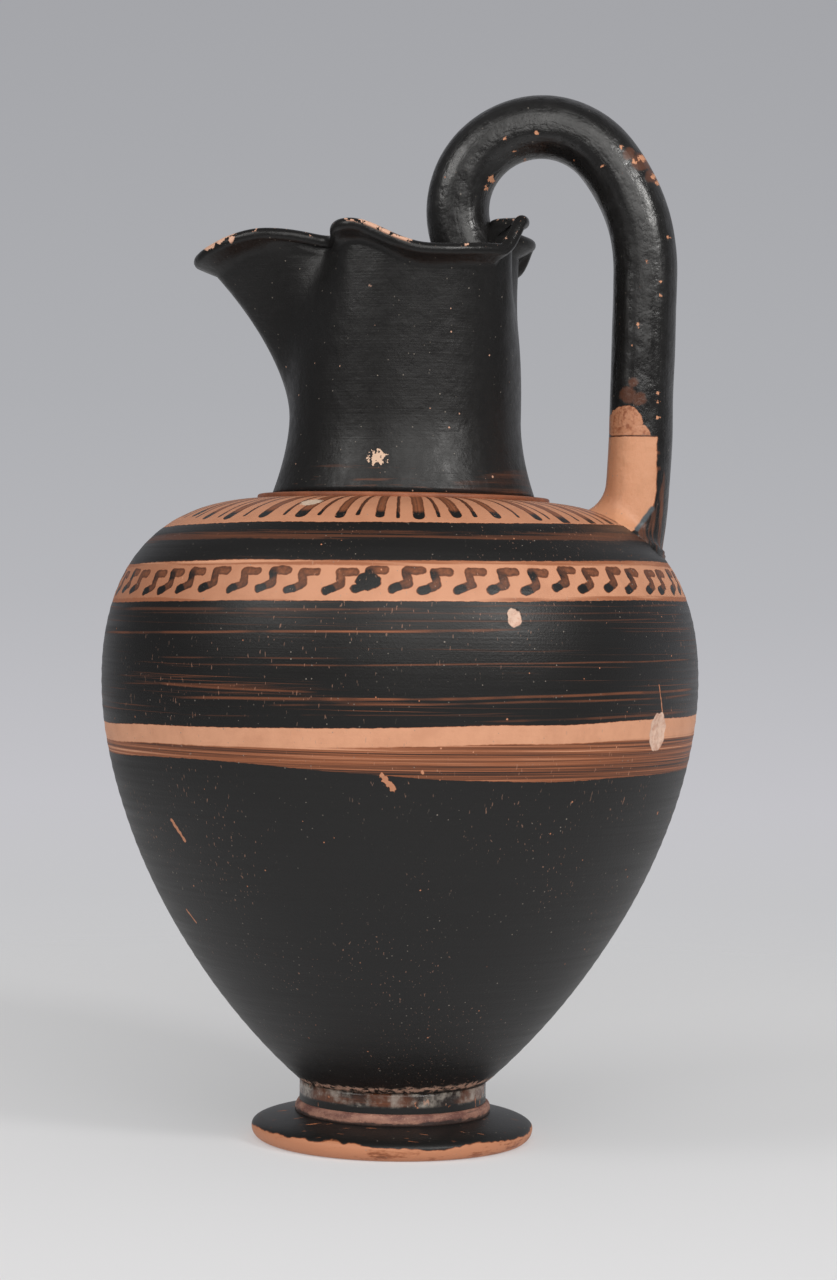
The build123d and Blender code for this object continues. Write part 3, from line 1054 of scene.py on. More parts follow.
@dataclass
class Foot:
    """Turned disc foot with its stem, and the bead at the stem's base."""

    radius: float = 37.7
    edge_height: float = 3.2
    top_height: float = 7.3
    edge_pull: float = 2.6
    top_slope: float = 13.0
    top_pull: float = 6.0
    rest_outer: float = 35.0
    rest_inner: float = 26.0
    hollow_depth: float = 4.5
    hollow_flat: float = 9.0
    hollow_turn: Point = (18.0, 2.9)
    rest_pull: Point = (1.4, 0.2)
    edge_drop: float = 1.9
    stem_radius: float = 25.0
    stem_top: float = 15.6
    bead_reach: float = 1.0
    bead_height: float = 3.0
    turns: int = 216
    even_inside: float = 20.0
    even_below: float = 0.3
    disc_waves: tuple[Wave, ...] = ((0.2, 24.0), (0.07, 6.0))
    bead_waves: tuple[Wave, ...] = ((0.32, 7.0), (0.12, 2.4))
    bead_rise: Wave = (0.35, 15.0)
    slip: Slip = Slip(clay=(0.53, 0.222, 0.115), slip_roughness=0.42)
    # Grey of the stem's patches: partly dust, partly painted sheen.
    stem_dust_and_sheen: Colour = (0.42, 0.37, 0.32)
    bead_dark: Colour = (0.17, 0.07, 0.055)
    bead_pale: Colour = (0.38, 0.19, 0.135)
    # Palest bead colour: partly rubbed clay, partly painted highlight.
    bead_rub_and_highlight: Colour = (0.56, 0.34, 0.24)
    # Darkest bead colour: brushed streaks, and painted shade at the bead's bottom.
    bead_streak_and_crease_shade: Colour = (0.03, 0.022, 0.02)

    def disc_outline(self) -> list[Point]:
        """Section of the disc and the stem, from the hollow underneath to the stem's top.

        Returns:
            The (radius, height) points.
        """
        seat = (self.stem_radius + self.bead_reach, self.top_height)
        widest = (self.radius, self.edge_height)
        rest = (self.rest_outer, 0.0)
        middle = (0.0, self.hollow_depth)
        flat = (self.hollow_flat, self.hollow_depth)
        under = curve(middle, flat, self.hollow_turn, (self.rest_inner, 0.0), 12)
        rising = (rest[0] + self.rest_pull[0], self.rest_pull[1])
        edge = curve(rest, rising, (widest[0], widest[1] - self.edge_drop), widest, 10)
        falling = swept(seat, -self.top_slope, self.top_pull)
        top = curve(widest, (widest[0], widest[1] + self.edge_pull), falling, seat, 18)
        corner = (self.stem_radius, self.top_height)
        crown = (self.stem_radius, self.stem_top)
        return [
            *under,
            *straight((self.rest_inner, 0.0), rest, 5),
            *edge[1:],
            *top[1:],
            *straight(seat, corner, 2),
            *straight(corner, crown, 8),
            *straight(crown, (0.0, self.stem_top), 3),
        ]

    def bead_outline(self) -> list[Point]:
        """Section of the bead, closed on itself.

        Returns:
            The (radius, height) points.
        """
        bottom = (self.stem_radius - 0.4, self.top_height - 0.3)
        outside = (self.stem_radius + self.bead_reach, self.top_height - 0.1)
        top = (self.stem_radius - 0.2, self.top_height + self.bead_height)
        bulge = (outside[0] + 0.2, self.top_height + self.bead_height * 0.6)
        brow = (self.stem_radius + self.bead_reach * 0.7, top[1])
        return [bottom, *curve(outside, bulge, brow, top, 12), bottom]

    def uneven(self, point: Vector) -> Vector:
        """Make a point of the disc slightly uneven, but leave it flat where it rests.

        Args:
            point: The point as turned.

        Returns:
            The moved point.
        """
        if math.hypot(point.x, point.y) < self.even_inside * MM or point.z < self.even_below * MM:
            return point
        return pushed(point, humps(point, *self.disc_waves))

    def lumpy(self, point: Vector) -> Vector:
        """Make a point of the bead uneven along its length, because it was pressed on by hand.

        Args:
            point: The point as turned.

        Returns:
            The moved point.
        """
        share = max(0.0, (math.hypot(point.x, point.y) / MM - self.stem_radius) / self.bead_reach)
        rise = humps(point + Vector((0, 0, 1)), self.bead_rise)
        return pushed(point, humps(point, *self.bead_waves) * share) + Vector((0, 0, rise * MM * share))

    def build(self) -> tuple[Turning, Turning]:
        """Turn and shape both pieces.

        Returns:
            The meshes of the disc and the bead.
        """
        disc = Turning("foot", self.disc_outline(), self.turns)
        disc.shape(self.uneven)
        bead = Turning("foot_bead", self.bead_outline(), self.turns)
        bead.shape(self.lumpy)
        return disc, bead

    def disc_material(self) -> bpy.types.Material:
        """Black slip above a bare clay edge, with a thin brown band on the stem and grey patches on the stem
        that are partly dust and partly painted sheen.

        Returns:
            The material.
        """
        at = Surface("foot_slip")
        ragged = (at.cloud(0.07, 3.0, 0.55) - 0.5) * 5.0 + (at.cloud(0.6) - 0.5) * 0.7
        dipped = at.smooth(at.z + ragged, 3.7, 4.3)
        smear = at.smooth(at.brushed(3.2, 0.3, 4.0, 0.7), 0.53, 0.7) * 0.6
        fine = at.brushed(1.2, 1.4, 3.0)
        black = 1.0 - at.smooth(fine, 0.6, 0.75) * 0.2
        stem = at.smooth(at.z, 11.6, 12.6) * at.smooth(at.radius, 27.0, 26.0)
        patches = at.smooth(at.brushed(2.0, 0.12, 3.0), 0.42, 0.62)
        stem_thin = stem * (0.2 + 0.22 * patches)
        thickness = (dipped | smear * 0.75) * black - stem_thin
        losses = self.slip.specks(at, 2.4, 0.12, 0.14)
        lines = at.mapped(at.spot, (0.3, 1.5, 0.6), 0.0, (0.0, 0.0, 0.5))
        scratches = at.smooth(at.cloud(0.6, 3.0, 0.5, lines), 0.67, 0.7) * at.smooth(at.z, 4.5, 5.5)
        thickness = thickness * (1 - (losses | scratches) * 0.8)
        colour = self.slip.colour(at, thickness)
        # Grey patches on the stem: partly dust, partly painted sheen.
        dust = at.smooth(at.cloud(0.3, 4.0, 0.6), 0.4, 0.75)
        colour = at.mix(dust * stem * 0.8, colour, self.stem_dust_and_sheen)
        colour = self.slip.dusted(at, colour, 0.4)
        roughness = self.slip.roughness(thickness) - stem * 0.18
        relief = at.cloud(1.4, 4.0, 0.6) * 0.6 + at.fine_rings() * 0.3
        return at.finish(colour, roughness, relief, 0.1)

    def bead_material(self) -> bpy.types.Material:
        """Dusty purple-red wash with darker brushed streaks. Its pale grains are partly rubbed clay and
        partly painted highlight, and its bottom, where it meets the disc, is darkened as painted shade.

        Returns:
            The material.
        """
        at = Surface("purple_wash")
        blotch = at.brushed(4.0, 0.4, 4.0, 0.65)
        grain = at.cloud(2.2, 4.0, 0.65)
        colour = at.mix(at.smooth(blotch, 0.35, 0.65), self.bead_dark, self.bead_pale)
        # Pale grains: partly rubbed clay, partly painted highlight.
        colour = at.mix(at.smooth(grain, 0.55, 0.72) * 0.6, colour, self.bead_rub_and_highlight)
        dark = at.smooth(at.brushed(3.0, 0.8, 3.0), 0.6, 0.72)
        # Painted shade: the bottom of the bead, where it meets the disc, is darkened.
        low = at.smooth(at.z + (blotch - 0.5) * 2.6, 8.5, 7.9)
        colour = at.mix(dark * 0.7 | low * 0.9, colour, self.bead_streak_and_crease_shade)
        return at.finish(colour, 0.62 - 0.1 * blotch, grain, 0.14)

    def dress(self, disc: Turning, bead: Turning) -> None:
        """Give the meshes of the disc and the bead their finishes."""
        disc.close(Slot.FOOT, self.disc_material(), Node.FOOT_DISC)
        bead.close(Slot.PURPLE, self.bead_material(), Node.FOOT_FILLET)


@dataclass
class Neck:
    """Waisted neck with its flat ring and the mouth pinched into three lobes."""

    seat_height: float = 170.6
    ring_radius: float = 38.9
    ring_height: float = 1.2
    ring_round: float = 0.4
    ring_sink: float = 0.2
    ring_bulge: float = 0.15
    ring_bevel: float = 0.9
    base_radius: float = 35.2
    waist_radius: float = 30.9
    waist_height: float = 192.0
    wall: float = 4.0
    base_curve: float = 1.7
    opening_curve: tuple[Station, ...] = ((0, 3.0), (112, 3.0), (137, 3.5), (180, 1.7))
    throat: tuple[Station, ...] = ((0, 23.0), (28, 32.0), (74, 32.3), (112, 30.0), (137, 26.5), (180, 51.5))
    lip: tuple[Station, ...] = (
        (0, 246.4), (26, 245.3), (41, 236.9), (74, 235.9),
        (112, 242.4), (137, 239.4), (158, 241.5), (180, 235.4),
    )
    flare: tuple[Station, ...] = (
        (0, 1.8), (28, 4.6), (60, 3.6), (98, 3.6),
        (112, 4.8), (137, 0.2), (180, 6.2),
    )
    lip_thickness: float = 3.5
    lip_depth: float = 5.4
    bead_start: float = -75.0
    root_share: float = 0.4
    turns: int = 264
    base_steps: int = 12
    wall_steps: int = 30
    lip_steps: int = 14
    inner_steps: int = 16
    neck_wave: Wave = (0.16, 22.0)
    ring_wave: Wave = (0.3, 11.0)
    low_lobe: Spot = (22.0, 20.0, 3.0)
    slip: Slip = Slip()
    flake: Spot = (-96.0, 180.8, 31.5)
    flake_colour: Colour = (0.72, 0.5, 0.36)
    ring_tint: Colour = (0.28, 0.09, 0.05)
    rubbed: tuple[Spot, ...] = (
        (-51.8, 238.2, 2.3), (-48.8, 239.6, 2.3), (-46.2, 240.6, 1.5),
        (-45.2, 238.2, 1.0), (-38.7, 242.2, 0.8),
    )

    def plan(self, angle: float, radius: Callable[[float], float], offset: float) -> Point:
        """Point of a ring in plan, moved sideways from its outline.

        Args:
            angle: Angle from the handle.
            radius: The ring's radius as a function of the angle.
            offset: Distance outwards along the outline's normal.

        Returns:
            The (x, y) point.
        """

        def ring(turn: float) -> Vector:
            """Point of the ring at an angle."""
            return Vector(swept((0.0, 0.0), turn, radius(turn)))

        along = ring(angle + 1) - ring(angle - 1)
        outward = Vector((along.y, -along.x)).normalized()
        return tuple(ring(angle) + outward * offset)

    def lip_height(self, angle: float) -> float:
        """Height of the lip; the far one of the two rear lobes sits lower.

        Args:
            angle: Angle from the handle.

        Returns:
            The height.
        """
        place, width, drop = self.low_lobe
        turn = (angle + 180) % 360 - 180
        return eased(self.lip, angle) - drop * math.exp(-(((turn - place) / width) ** 2))

    def base_point(self, angle: float, share: float, inset: float) -> Vector:
        """Point of the flared base.

        Args:
            angle: Angle from the handle.
            share: 0 at the seat and 1 at the waist.
            inset: Distance inwards.

        Returns:
            The point in metres.
        """
        low = self.seat_height + self.ring_height
        height = low + (self.waist_height - low) * share
        radius = self.waist_radius + (self.base_radius - self.waist_radius) * (1 - share) ** self.base_curve
        return Vector((*self.plan(angle, lambda turn: radius, -inset), height)) * MM

    def opened(self, angle: float, share: float) -> float:
        """Radius of the opening wall's outside, at a share of its height."""
        opening = share ** eased(self.opening_curve, angle)
        return self.waist_radius + (eased(self.throat, angle) - self.waist_radius) * opening

    def wall_point(self, angle: float, share: float, inset: float) -> Vector:
        """Point of the opening wall, which is round at the waist and lobed below the lip.

        Args:
            angle: Angle from the handle.
            share: 0 at the waist and 1 below the lip.
            inset: Distance inwards.

        Returns:
            The point in metres.
        """
        top = self.lip_height(angle) - self.lip_depth
        height = self.waist_height + (top - self.waist_height) * share
        return Vector((*self.plan(angle, lambda turn: self.opened(turn, share), -inset), height)) * MM

    def lip_point(self, angle: float, flare_share: float, inset: float, drop: float) -> Vector:
        """Point of the lip, whose round part is square to its slope and so stays round where it climbs.

        Args:
            angle: Angle from the handle.
            flare_share: Share of the lip's flare.
            inset: Distance inwards from there.
            drop: Distance below the lip's top.

        Returns:
            The point in metres.
        """

        def plan(turn: float, offset: float) -> Vector:
            """Point in plan at an offset from the throat."""
            return Vector(self.plan(turn, lambda here: eased(self.throat, here), offset))

        along = plan(angle + 1, 0.0) - plan(angle - 1, 0.0)
        slope = (self.lip_height(angle + 1) - self.lip_height(angle - 1)) / along.length
        lean = slope / math.hypot(1.0, slope) if drop < self.lip_thickness + 0.1 else 0.0
        place = plan(angle, eased(self.flare, angle) * flare_share - inset)
        place = place + along.normalized() * (drop * lean)
        return Vector((*place, self.lip_height(angle) - drop * math.sqrt(1 - lean**2))) * MM

    def wall_radius(self, angle: float, height: float) -> float:
        """Radius of the wall's outside.

        Args:
            angle: Angle from the handle.
            height: Height above the table.

        Returns:
            The radius.
        """
        top = self.lip_height(angle) - self.lip_depth
        share = min(1.0, max(0.0, (height - self.waist_height) / (top - self.waist_height)))
        return self.opened(angle, share)

    def rings(self) -> list[tuple[Callable[[float], Vector], float]]:
        """Rings from the seat up the outside, over the lip and down the inside.

        Returns:
            Each ring's point as a function of the angle, and how near it is to the lip's crest (0 to 1).
        """
        made: list[tuple[Callable[[float], Vector], float]] = []
        bead = self.lip_thickness / 2

        def add(place: Callable[..., Vector], crest: float, *settings: float) -> None:
            """Add a ring whose points a method gives for its settings."""
            made.append((lambda angle: place(angle, *settings), crest))

        for step in range(self.base_steps):
            add(self.base_point, 0.0, step / self.base_steps, 0.0)
        for step in range(self.wall_steps + 1):
            add(self.wall_point, 0.0, step / self.wall_steps, 0.0)
        add(self.lip_point, 0.15, self.root_share, 0.0, (self.lip_depth + self.lip_thickness) / 2)
        for step in range(self.lip_steps + 1):
            turn = self.bead_start + step * (180 - self.bead_start) / self.lip_steps
            cosine, sine = math.cos(math.radians(turn)), math.sin(math.radians(turn))
            add(self.lip_point, (1 + sine) / 2, 1.0, bead * (1 - cosine), bead * (1 - sine))
        add(self.lip_point, 0.15, self.root_share, self.wall, (self.lip_depth + bead) / 2)
        for step in range(self.inner_steps + 1):
            add(self.wall_point, 0.0, 1 - step / self.inner_steps, self.wall)
        for step in range(self.base_steps):
            add(self.base_point, 0.0, 1 - (step + 1) / self.base_steps, self.wall)
        return made

    def ring_outline(self) -> list[Point]:
        """Section of the flat ring, closed on itself.

        Returns:
            The (radius, height) points.
        """
        low, high = self.seat_height - self.ring_sink, self.seat_height + self.ring_height
        inner = self.base_radius - self.wall
        reach = self.ring_radius
        pull = (reach + self.ring_bulge, high - self.ring_round)
        edge = curve((reach, low), pull, (reach + 0.05, high), (reach - self.ring_bevel, high), 8)
        return [(inner, low), *edge, *straight(edge[-1], (inner, high), 4), (inner, low)]

    def build(self) -> tuple[Turning, Turning]:
        """Turn and shape the neck with its mouth, and the ring below it.

        Returns:
            Their meshes.
        """
        rings = self.rings()
        outline = column(len(rings))
        neck = Turning("neck", [*outline, outline[0]], self.turns)
        crest = neck.item.data.attributes.new("crest", "FLOAT", "POINT")
        for index, vertex in enumerate(neck.item.data.vertices):
            crest.data[index].value = rings[round(vertex.co.z / MM)][1]

        def place(point: Vector) -> Vector:
            """Move a point of the column to its ring.

            Args:
                point: The point as turned.

            Returns:
                The moved point.
            """
            angle = math.degrees(math.atan2(point.y, point.x))
            made = rings[round(point.z / MM)][0](angle)
            return pushed(made, humps(made, self.neck_wave))

        neck.shape(place)
        ring = Turning("ring", self.ring_outline(), self.turns)
        ring.shape(self.uneven_ring)
        return neck, ring

    def uneven_ring(self, point: Vector) -> Vector:
        """Make a point of the ring slightly uneven at its edge.

        Args:
            point: The point as turned.

        Returns:
            The moved point.
        """
        share = math.hypot(point.x, point.y) / MM - self.base_radius
        share = max(0.0, share) / (self.ring_radius - self.base_radius)
        return pushed(point, share * humps(point, self.ring_wave))

    def neck_material(self) -> bpy.types.Material:
        """Glossy black slip, brown where it is brushed thin and bare where the lip is rubbed.

        Returns:
            The material.
        """
        at = Surface("glossy_slip")
        crest = at.attribute("crest")
        fine = at.brushed(1.6, 1.1, 4.0, 0.65)
        thin = at.smooth(at.z, 186.0, 174.0) * at.smooth(fine, 0.5, 0.68) * 0.42
        veil = at.smooth(at.z + at.x * -0.28, 174.5, 169.0) * at.smooth(at.x, 0.0, 20.0)
        thin = thin | veil * (0.06 + 0.36 * fine)
        worn = at.cloud(0.42, 4.0, 0.62)
        near = at.band(at.angle, -111.0, -80.0, 5.0)
        rub = at.smooth(crest, 0.6, 0.85) * at.smooth(worn + 0.19 * near, 0.62, 0.645)
        crumbs = (at.cloud(0.7, 3.0, 0.65) - 0.5) * 3.4
        patch = at.smooth(at.blots(self.rubbed) + crumbs, 0.15, -0.15) * at.smooth(crest, 0.1, 0.4)
        rub = rub | patch * at.smooth(at.y, 1.0, -1.0)
        losses = self.slip.specks(at, 2.4, 0.1, 0.13) | self.slip.specks(at, 6.5, 0.14, 0.1)
        far = at.spot_distance(*self.flake, 0.8) + (at.cloud(0.9, 3.0, 0.6) - 0.5) * 9.0
        flake = at.smooth(far, 2.2, 1.9)
        thickness = (1.02 - thin) * (1 - (rub | flake)) * (1 - losses * 0.8)
        colour = self.slip.colour(at, thickness)
        colour = at.mix(rub * 0.5 | losses * 0.45, colour, self.slip.chip)
        colour = at.mix(flake, colour, self.flake_colour)
        colour = self.slip.dusted(at, colour, 0.35)
        roughness = self.slip.roughness(thickness) + (at.cloud(0.3, 5.0, 0.7) - 0.5) * 0.4
        roughness = roughness - crest * 0.14
        relief = at.cloud(1.3, 4.0, 0.6) * 0.7 + at.fine_rings() * 0.5
        relief = relief + at.cloud(0.22) * 2.4
        return at.finish(colour, roughness, relief, 0.09)

    def ring_material(self) -> bpy.types.Material:
        """Thin reddish slip on the ring's edge, darker towards the neck.

        Returns:
            The material.
        """
        at = Surface("ring_slip")
        blotch = at.brushed(3.2, 0.4, 4.0, 0.6)
        inward = at.smooth(at.radius, 38.2, 36.8)
        thickness = 0.36 + (blotch - 0.5) * 0.9 + inward * 0.6
        colour = at.mix(0.25, self.slip.colour(at, thickness), self.ring_tint)
        relief = at.cloud(1.4, 3.0)
        return at.finish(colour, self.slip.roughness(thickness), relief, 0.1)

    def dress(self, neck: Turning, ring: Turning) -> None:
        """Give the meshes of the neck and the ring their finishes."""
        neck.close(Slot.BLACK, self.neck_material(), Node.NECK_AND_MOUTH)
        ring.close(Slot.BLACK, self.ring_material(), Node.NECK_RING)


@dataclass
class Handle:
    """Rolled rod that rises from inside the mouth, arches over and comes down to the shoulder."""

    body: Body
    neck: Neck
    rod_radius: float = 8.4
    arch_radius: float = 22.1
    arch_centre: Point = (35.3, 248.4)
    arch_start: float = 258.0
    arch_end: float = 40.0
    bend_radius: float = 48.0
    leg_lean: float = 0.6
    leg_length: float = 41.2
    root_radius: float = 260.0
    root_angle: float = 9.0
    wad_margin: float = 5.0
    wad_end: float = 196.0
    root_fillets: tuple[Station, ...] = ((0, 1.2), (60, 3.0), (120, 5.5), (180, 8.0))
    crease: Spot = (112.0, 16.0, 0.3)
    panel_top: float = 188.5
    panel_edge: float = 67.6
    wave: Wave = (0.2, 16.0)
    turns: int = 72
    step: float = 1.1
    slip: Slip = Slip(clay=(0.64, 0.3, 0.162), slip_roughness=0.3)
    root_top: float = 190.0
    mouth_low: float = 200.0
    mouth_reach: float = 45.0
    lip_cover: float = 2.0
    wall_cover: float = 1.4
    panel_mottle: Colour = (0.52, 0.245, 0.125)
    stain: Colour = (0.075, 0.09, 0.1)
    stain_line: tuple[Point, Point] = ((66.6, 169.4), (62.8, 164.0))
    rubbed: tuple[Spot, ...] = (
        (22.3, 256.0, 0.8), (21.0, 253.6, 0.4), (26.0, 266.2, 0.4), (28.4, 263.0, 0.3), (31.0, 261.4, 0.3),
        (34.3, 267.8, 0.4), (51.8, 259.1, 0.4), (56.6, 264.3, 0.4), (60.0, 260.6, 0.6), (62.0, 261.9, 1.0),
        (65.2, 257.2, 0.7), (66.2, 255.6, 0.6), (69.3, 240.8, 0.4), (64.1, 234.3, 0.4), (67.6, 229.0, 0.3),
        (67.6, 225.5, 0.3), (62.0, 217.4, 0.4), (60.3, 211.9, 0.3), (67.6, 199.8, 0.3), (67.5, 197.3, 0.3),
        (67.6, 193.2, 0.4),
    )
    browned: tuple[Spot, ...] = (
        (58.6, 262.6, 2.0), (61.8, 260.6, 2.9), (65.0, 257.2, 2.4), (61.0, 202.4, 1.7),
        (59.6, 199.2, 2.6), (62.8, 198.0, 2.2), (67.8, 184.0, 1.0), (67.9, 180.0, 0.9),
    )
    flakes: tuple[Spot, ...] = ((59.0, 191.6, 4.8), (62.8, 188.6, 3.0))

    def centre_line(self) -> list[Spot]:
        """Line through the middle of the rod, from the mouth to the shoulder.

        Returns:
            The (x, height, heading) of each point.
        """
        runs = (
            (self.arch_radius, self.arch_start - self.arch_end),
            (self.bend_radius, self.arch_end + self.leg_lean),
            (None, 0.0),
            (self.root_radius, self.root_angle),
        )
        x, height = swept(self.arch_centre, self.arch_start, self.arch_radius)
        heading = self.arch_start - 90
        points = [(x, height, heading)]
        for radius, turn in runs:
            length = self.leg_length if radius is None else radius * math.radians(turn)
            count = max(1, round(length / self.step))
            for _ in range(count):
                chord = length / count
                heading -= turn / count / 2
                x, height = swept((x, height), heading, chord)
                heading -= turn / count / 2
                points.append((x, height, heading))
        return points

    def build(self) -> Turning:
        """Bend the rod, with clay worked in round both its ends.

        Returns:
            The mesh.
        """
        line = self.centre_line()
        outline = column(len(line))
        made = Turning("handle", [(0.0, 0.0), *outline, (0.0, outline[-1][1])], self.turns)
        rolled = made.item.data.attributes.new("rolled", "FLOAT_VECTOR", "POINT")
        for index, vertex in enumerate(made.item.data.vertices):
            across = vertex.co.xy.normalized()
            rolled.data[index].vector = (across.x, across.y, vertex.co.z / MM * self.step)
        wad_length = self.arch_radius * math.radians(self.arch_start - self.wad_end)

        def place(point: Vector) -> Vector:
            """Move a point of the column to its place on the rod.

            Args:
                point: The point as turned.

            Returns:
                The moved point.
            """
            index = round(point.z / MM)
            x, height, heading = line[index]
            turn = math.radians(heading)
            outward = Vector((-math.sin(turn), 0, math.cos(turn)))
            around = math.atan2(point.y, point.x)
            full = math.hypot(point.x, point.y) / (COLUMN_RADIUS * MM)
            early = max(0.0, 1 - index * self.step / wad_length)
            centre = Vector((x, 0, height)) * MM
            swing = humps(centre + Vector((0, around * MM * 9, 0)), self.wave)
            place_of_crease, crease_width, crease_height = self.crease
            off = (abs(math.degrees(around)) - place_of_crease) / crease_width
            swing += crease_height * math.exp(-(off**2))
            reach = (self.rod_radius + self.wad_margin * early**1.5 + swing) * full * MM
            spot = centre + outward * (math.cos(around) * reach) + Vector((0, math.sin(around) * reach, 0))
            spot = self.worked_in(spot, math.degrees(around), outward)
            return self.kept_in_wall(spot)

        made.shape(place)
        return made

    def worked_in(self, spot: Vector, around: float, outward: Vector) -> Vector:
        """A point of the rod moved out near the shoulder, so that the clay runs into it.

        Args:
            spot: The point on the rod.
            around: Its angle round the rod, 0 on the outer side.
            outward: Direction of the rod's outer side.

        Returns:
            The moved point.
        """
        if spot.z > self.root_top * MM:
            return spot
        fillet = eased(self.root_fillets, around)
        gap = min(fillet, max(0.0, self.body.distance(spot)))
        spread = fillet - math.sqrt(fillet**2 - (fillet - gap) ** 2)
        turn = math.radians(around)
        side = outward * math.cos(turn) + Vector((0, math.sin(turn), 0))
        return spot + Vector((side.x, side.y, 0)) * (spread * MM)

    def kept_in_wall(self, spot: Vector) -> Vector:
        """Keep a point near the mouth's wall from coming out of its outside.

        Args:
            spot: The point.

        Returns:
            The point, moved where it has to be.
        """
        angle = math.degrees(math.atan2(spot.y, spot.x))
        height = spot.z / MM
        top = self.neck.lip_height(angle) - self.lip_cover
        if abs(angle) > 90 or not self.mouth_low <= height <= top or spot.x > self.mouth_reach * MM:
            return spot
        limit = (self.neck.wall_radius(angle, height) - self.wall_cover) * MM
        radius = math.hypot(spot.x, spot.y)
        if radius <= limit:
            return spot
        return Vector((spot.x * limit / radius, spot.y * limit / radius, spot.z))

    def material(self) -> bpy.types.Material:
        """Glossy black slip with rubbed spots, and a bare clay panel that faces the neck at the root.

        Returns:
            The material.
        """
        at = Surface("handle_slip")
        rolled = at.attribute("rolled", "Vector")
        near = at.smooth(at.y, 1.0, -1.0)
        ragged = (at.cloud(0.5, 3.0, 0.6) - 0.5) * 1.2
        root = (176.0 - at.z) / 14.0 | 0.0
        edge = self.panel_edge - 7.5 * root**2.6
        panel = at.smooth(at.x + ragged * 0.5, edge + 0.3, edge - 0.3)
        panel = panel * at.smooth(at.z + ragged * 0.2, self.panel_top + 0.2, self.panel_top - 0.2)
        panel = panel * at.smooth(at.x, 30.0, 40.0)
        flaked = at.smooth(at.blots(self.flakes) + ragged, 0.2, -0.2) * near
        flaked = flaked * at.smooth(at.z, self.panel_top - 0.2, self.panel_top + 0.2)
        crumbs = (at.cloud(1.3, 3.0, 0.7) - 0.5) * 3.0
        spots = at.smooth(at.blots(self.rubbed) + crumbs, 0.1, -0.12) * near
        elsewhere = at.smooth(at.cloud(0.2, 4.0, 0.68), 0.665, 0.685) * (1 - near)
        brown = at.smooth(at.blots(self.browned) + ragged * 1.6, 0.6, -0.9) * near
        losses = self.slip.specks(at, 2.6, 0.12, 0.16) | self.slip.specks(at, 6.0, 0.16, 0.1)
        drag = at.cloud(1.0, 3.0, 0.6, at.mapped(rolled, (2.6, 2.6, 0.035)))
        root_brown = at.smooth(at.z, 190.0, 176.0) * at.smooth(drag, 0.42, 0.62) * 0.45
        line = at.band(at.z + ragged * 0.25, self.panel_top - 0.3, self.panel_top + 0.25, 0.12) * 0.62
        black = (1.02 - root_brown - brown * 0.38) * (1 - (spots | elsewhere) * 0.95) * (1 - losses * 0.8)
        crumble = 0.12 + at.smooth(at.cloud(0.6, 4.0, 0.6), 0.45, 0.7) * 0.22
        thickness = black * (1 - panel) * (1 - flaked) + flaked * crumble + line * panel
        inner = at.smooth(at.x + ragged * 0.2, 57.6, 56.2) * panel * 0.08
        thickness = thickness + inner
        colour = self.slip.colour(at, thickness)
        mottle = at.smooth(at.cloud(0.4, 4.0, 0.6), 0.45, 0.75) * panel
        colour = at.mix(mottle * 0.3, colour, self.panel_mottle)
        streak = at.segment_gap(at.x, at.z, *self.stain_line) + ragged * 0.5
        colour = at.mix(at.smooth(streak, 0.9, 0.3) * near, colour, self.stain)
        colour = self.slip.dusted(at, colour, 0.3)
        roughness = self.slip.roughness(thickness) + (drag - 0.5) * 0.6
        roughness = roughness + (at.cloud(0.4, 5.0, 0.7) - 0.5) * 0.4
        relief = at.cloud(1.2, 4.0, 0.6) * 0.7 + drag * 1.8 + at.cloud(0.2) * 3.0
        return at.finish(colour, roughness, relief, 0.13, 0.6)

    def dress(self, made: Turning) -> None:
        """Give the handle's mesh its finish."""
        nodes = (Node.HANDLE_ROD, Node.HANDLE_RIM_WAD, Node.HANDLE_ROOT_COIL)
        made.close(Slot.HANDLE, self.material(), *nodes)


@dataclass(frozen=True)
class Lamp:
    """A square soft light that faces the jug."""

    name: str
    azimuth: float
    elevation: float
    distance: float
    size: float
    power: float
    colour: Colour = (1.0, 0.985, 0.96)

    def build(self, target: Vector) -> None:
        """Hang the light.

        Args:
            target: The point that it faces.
        """
        data = bpy.data.lights.new(self.name, "AREA")
        data.size = self.size
        data.energy = self.power
        data.color = self.colour
        item = bpy.data.objects.new(self.name, data)
        bpy.context.scene.collection.objects.link(item)
        turn, rise = math.radians(self.azimuth), math.radians(self.elevation)
        away = Vector((math.sin(turn) * math.cos(rise), -math.cos(turn) * math.cos(rise), math.sin(rise)))
        item.location = target + away * self.distance
        item.rotation_euler = (-away).to_track_quat("-Z", "Y").to_euler()


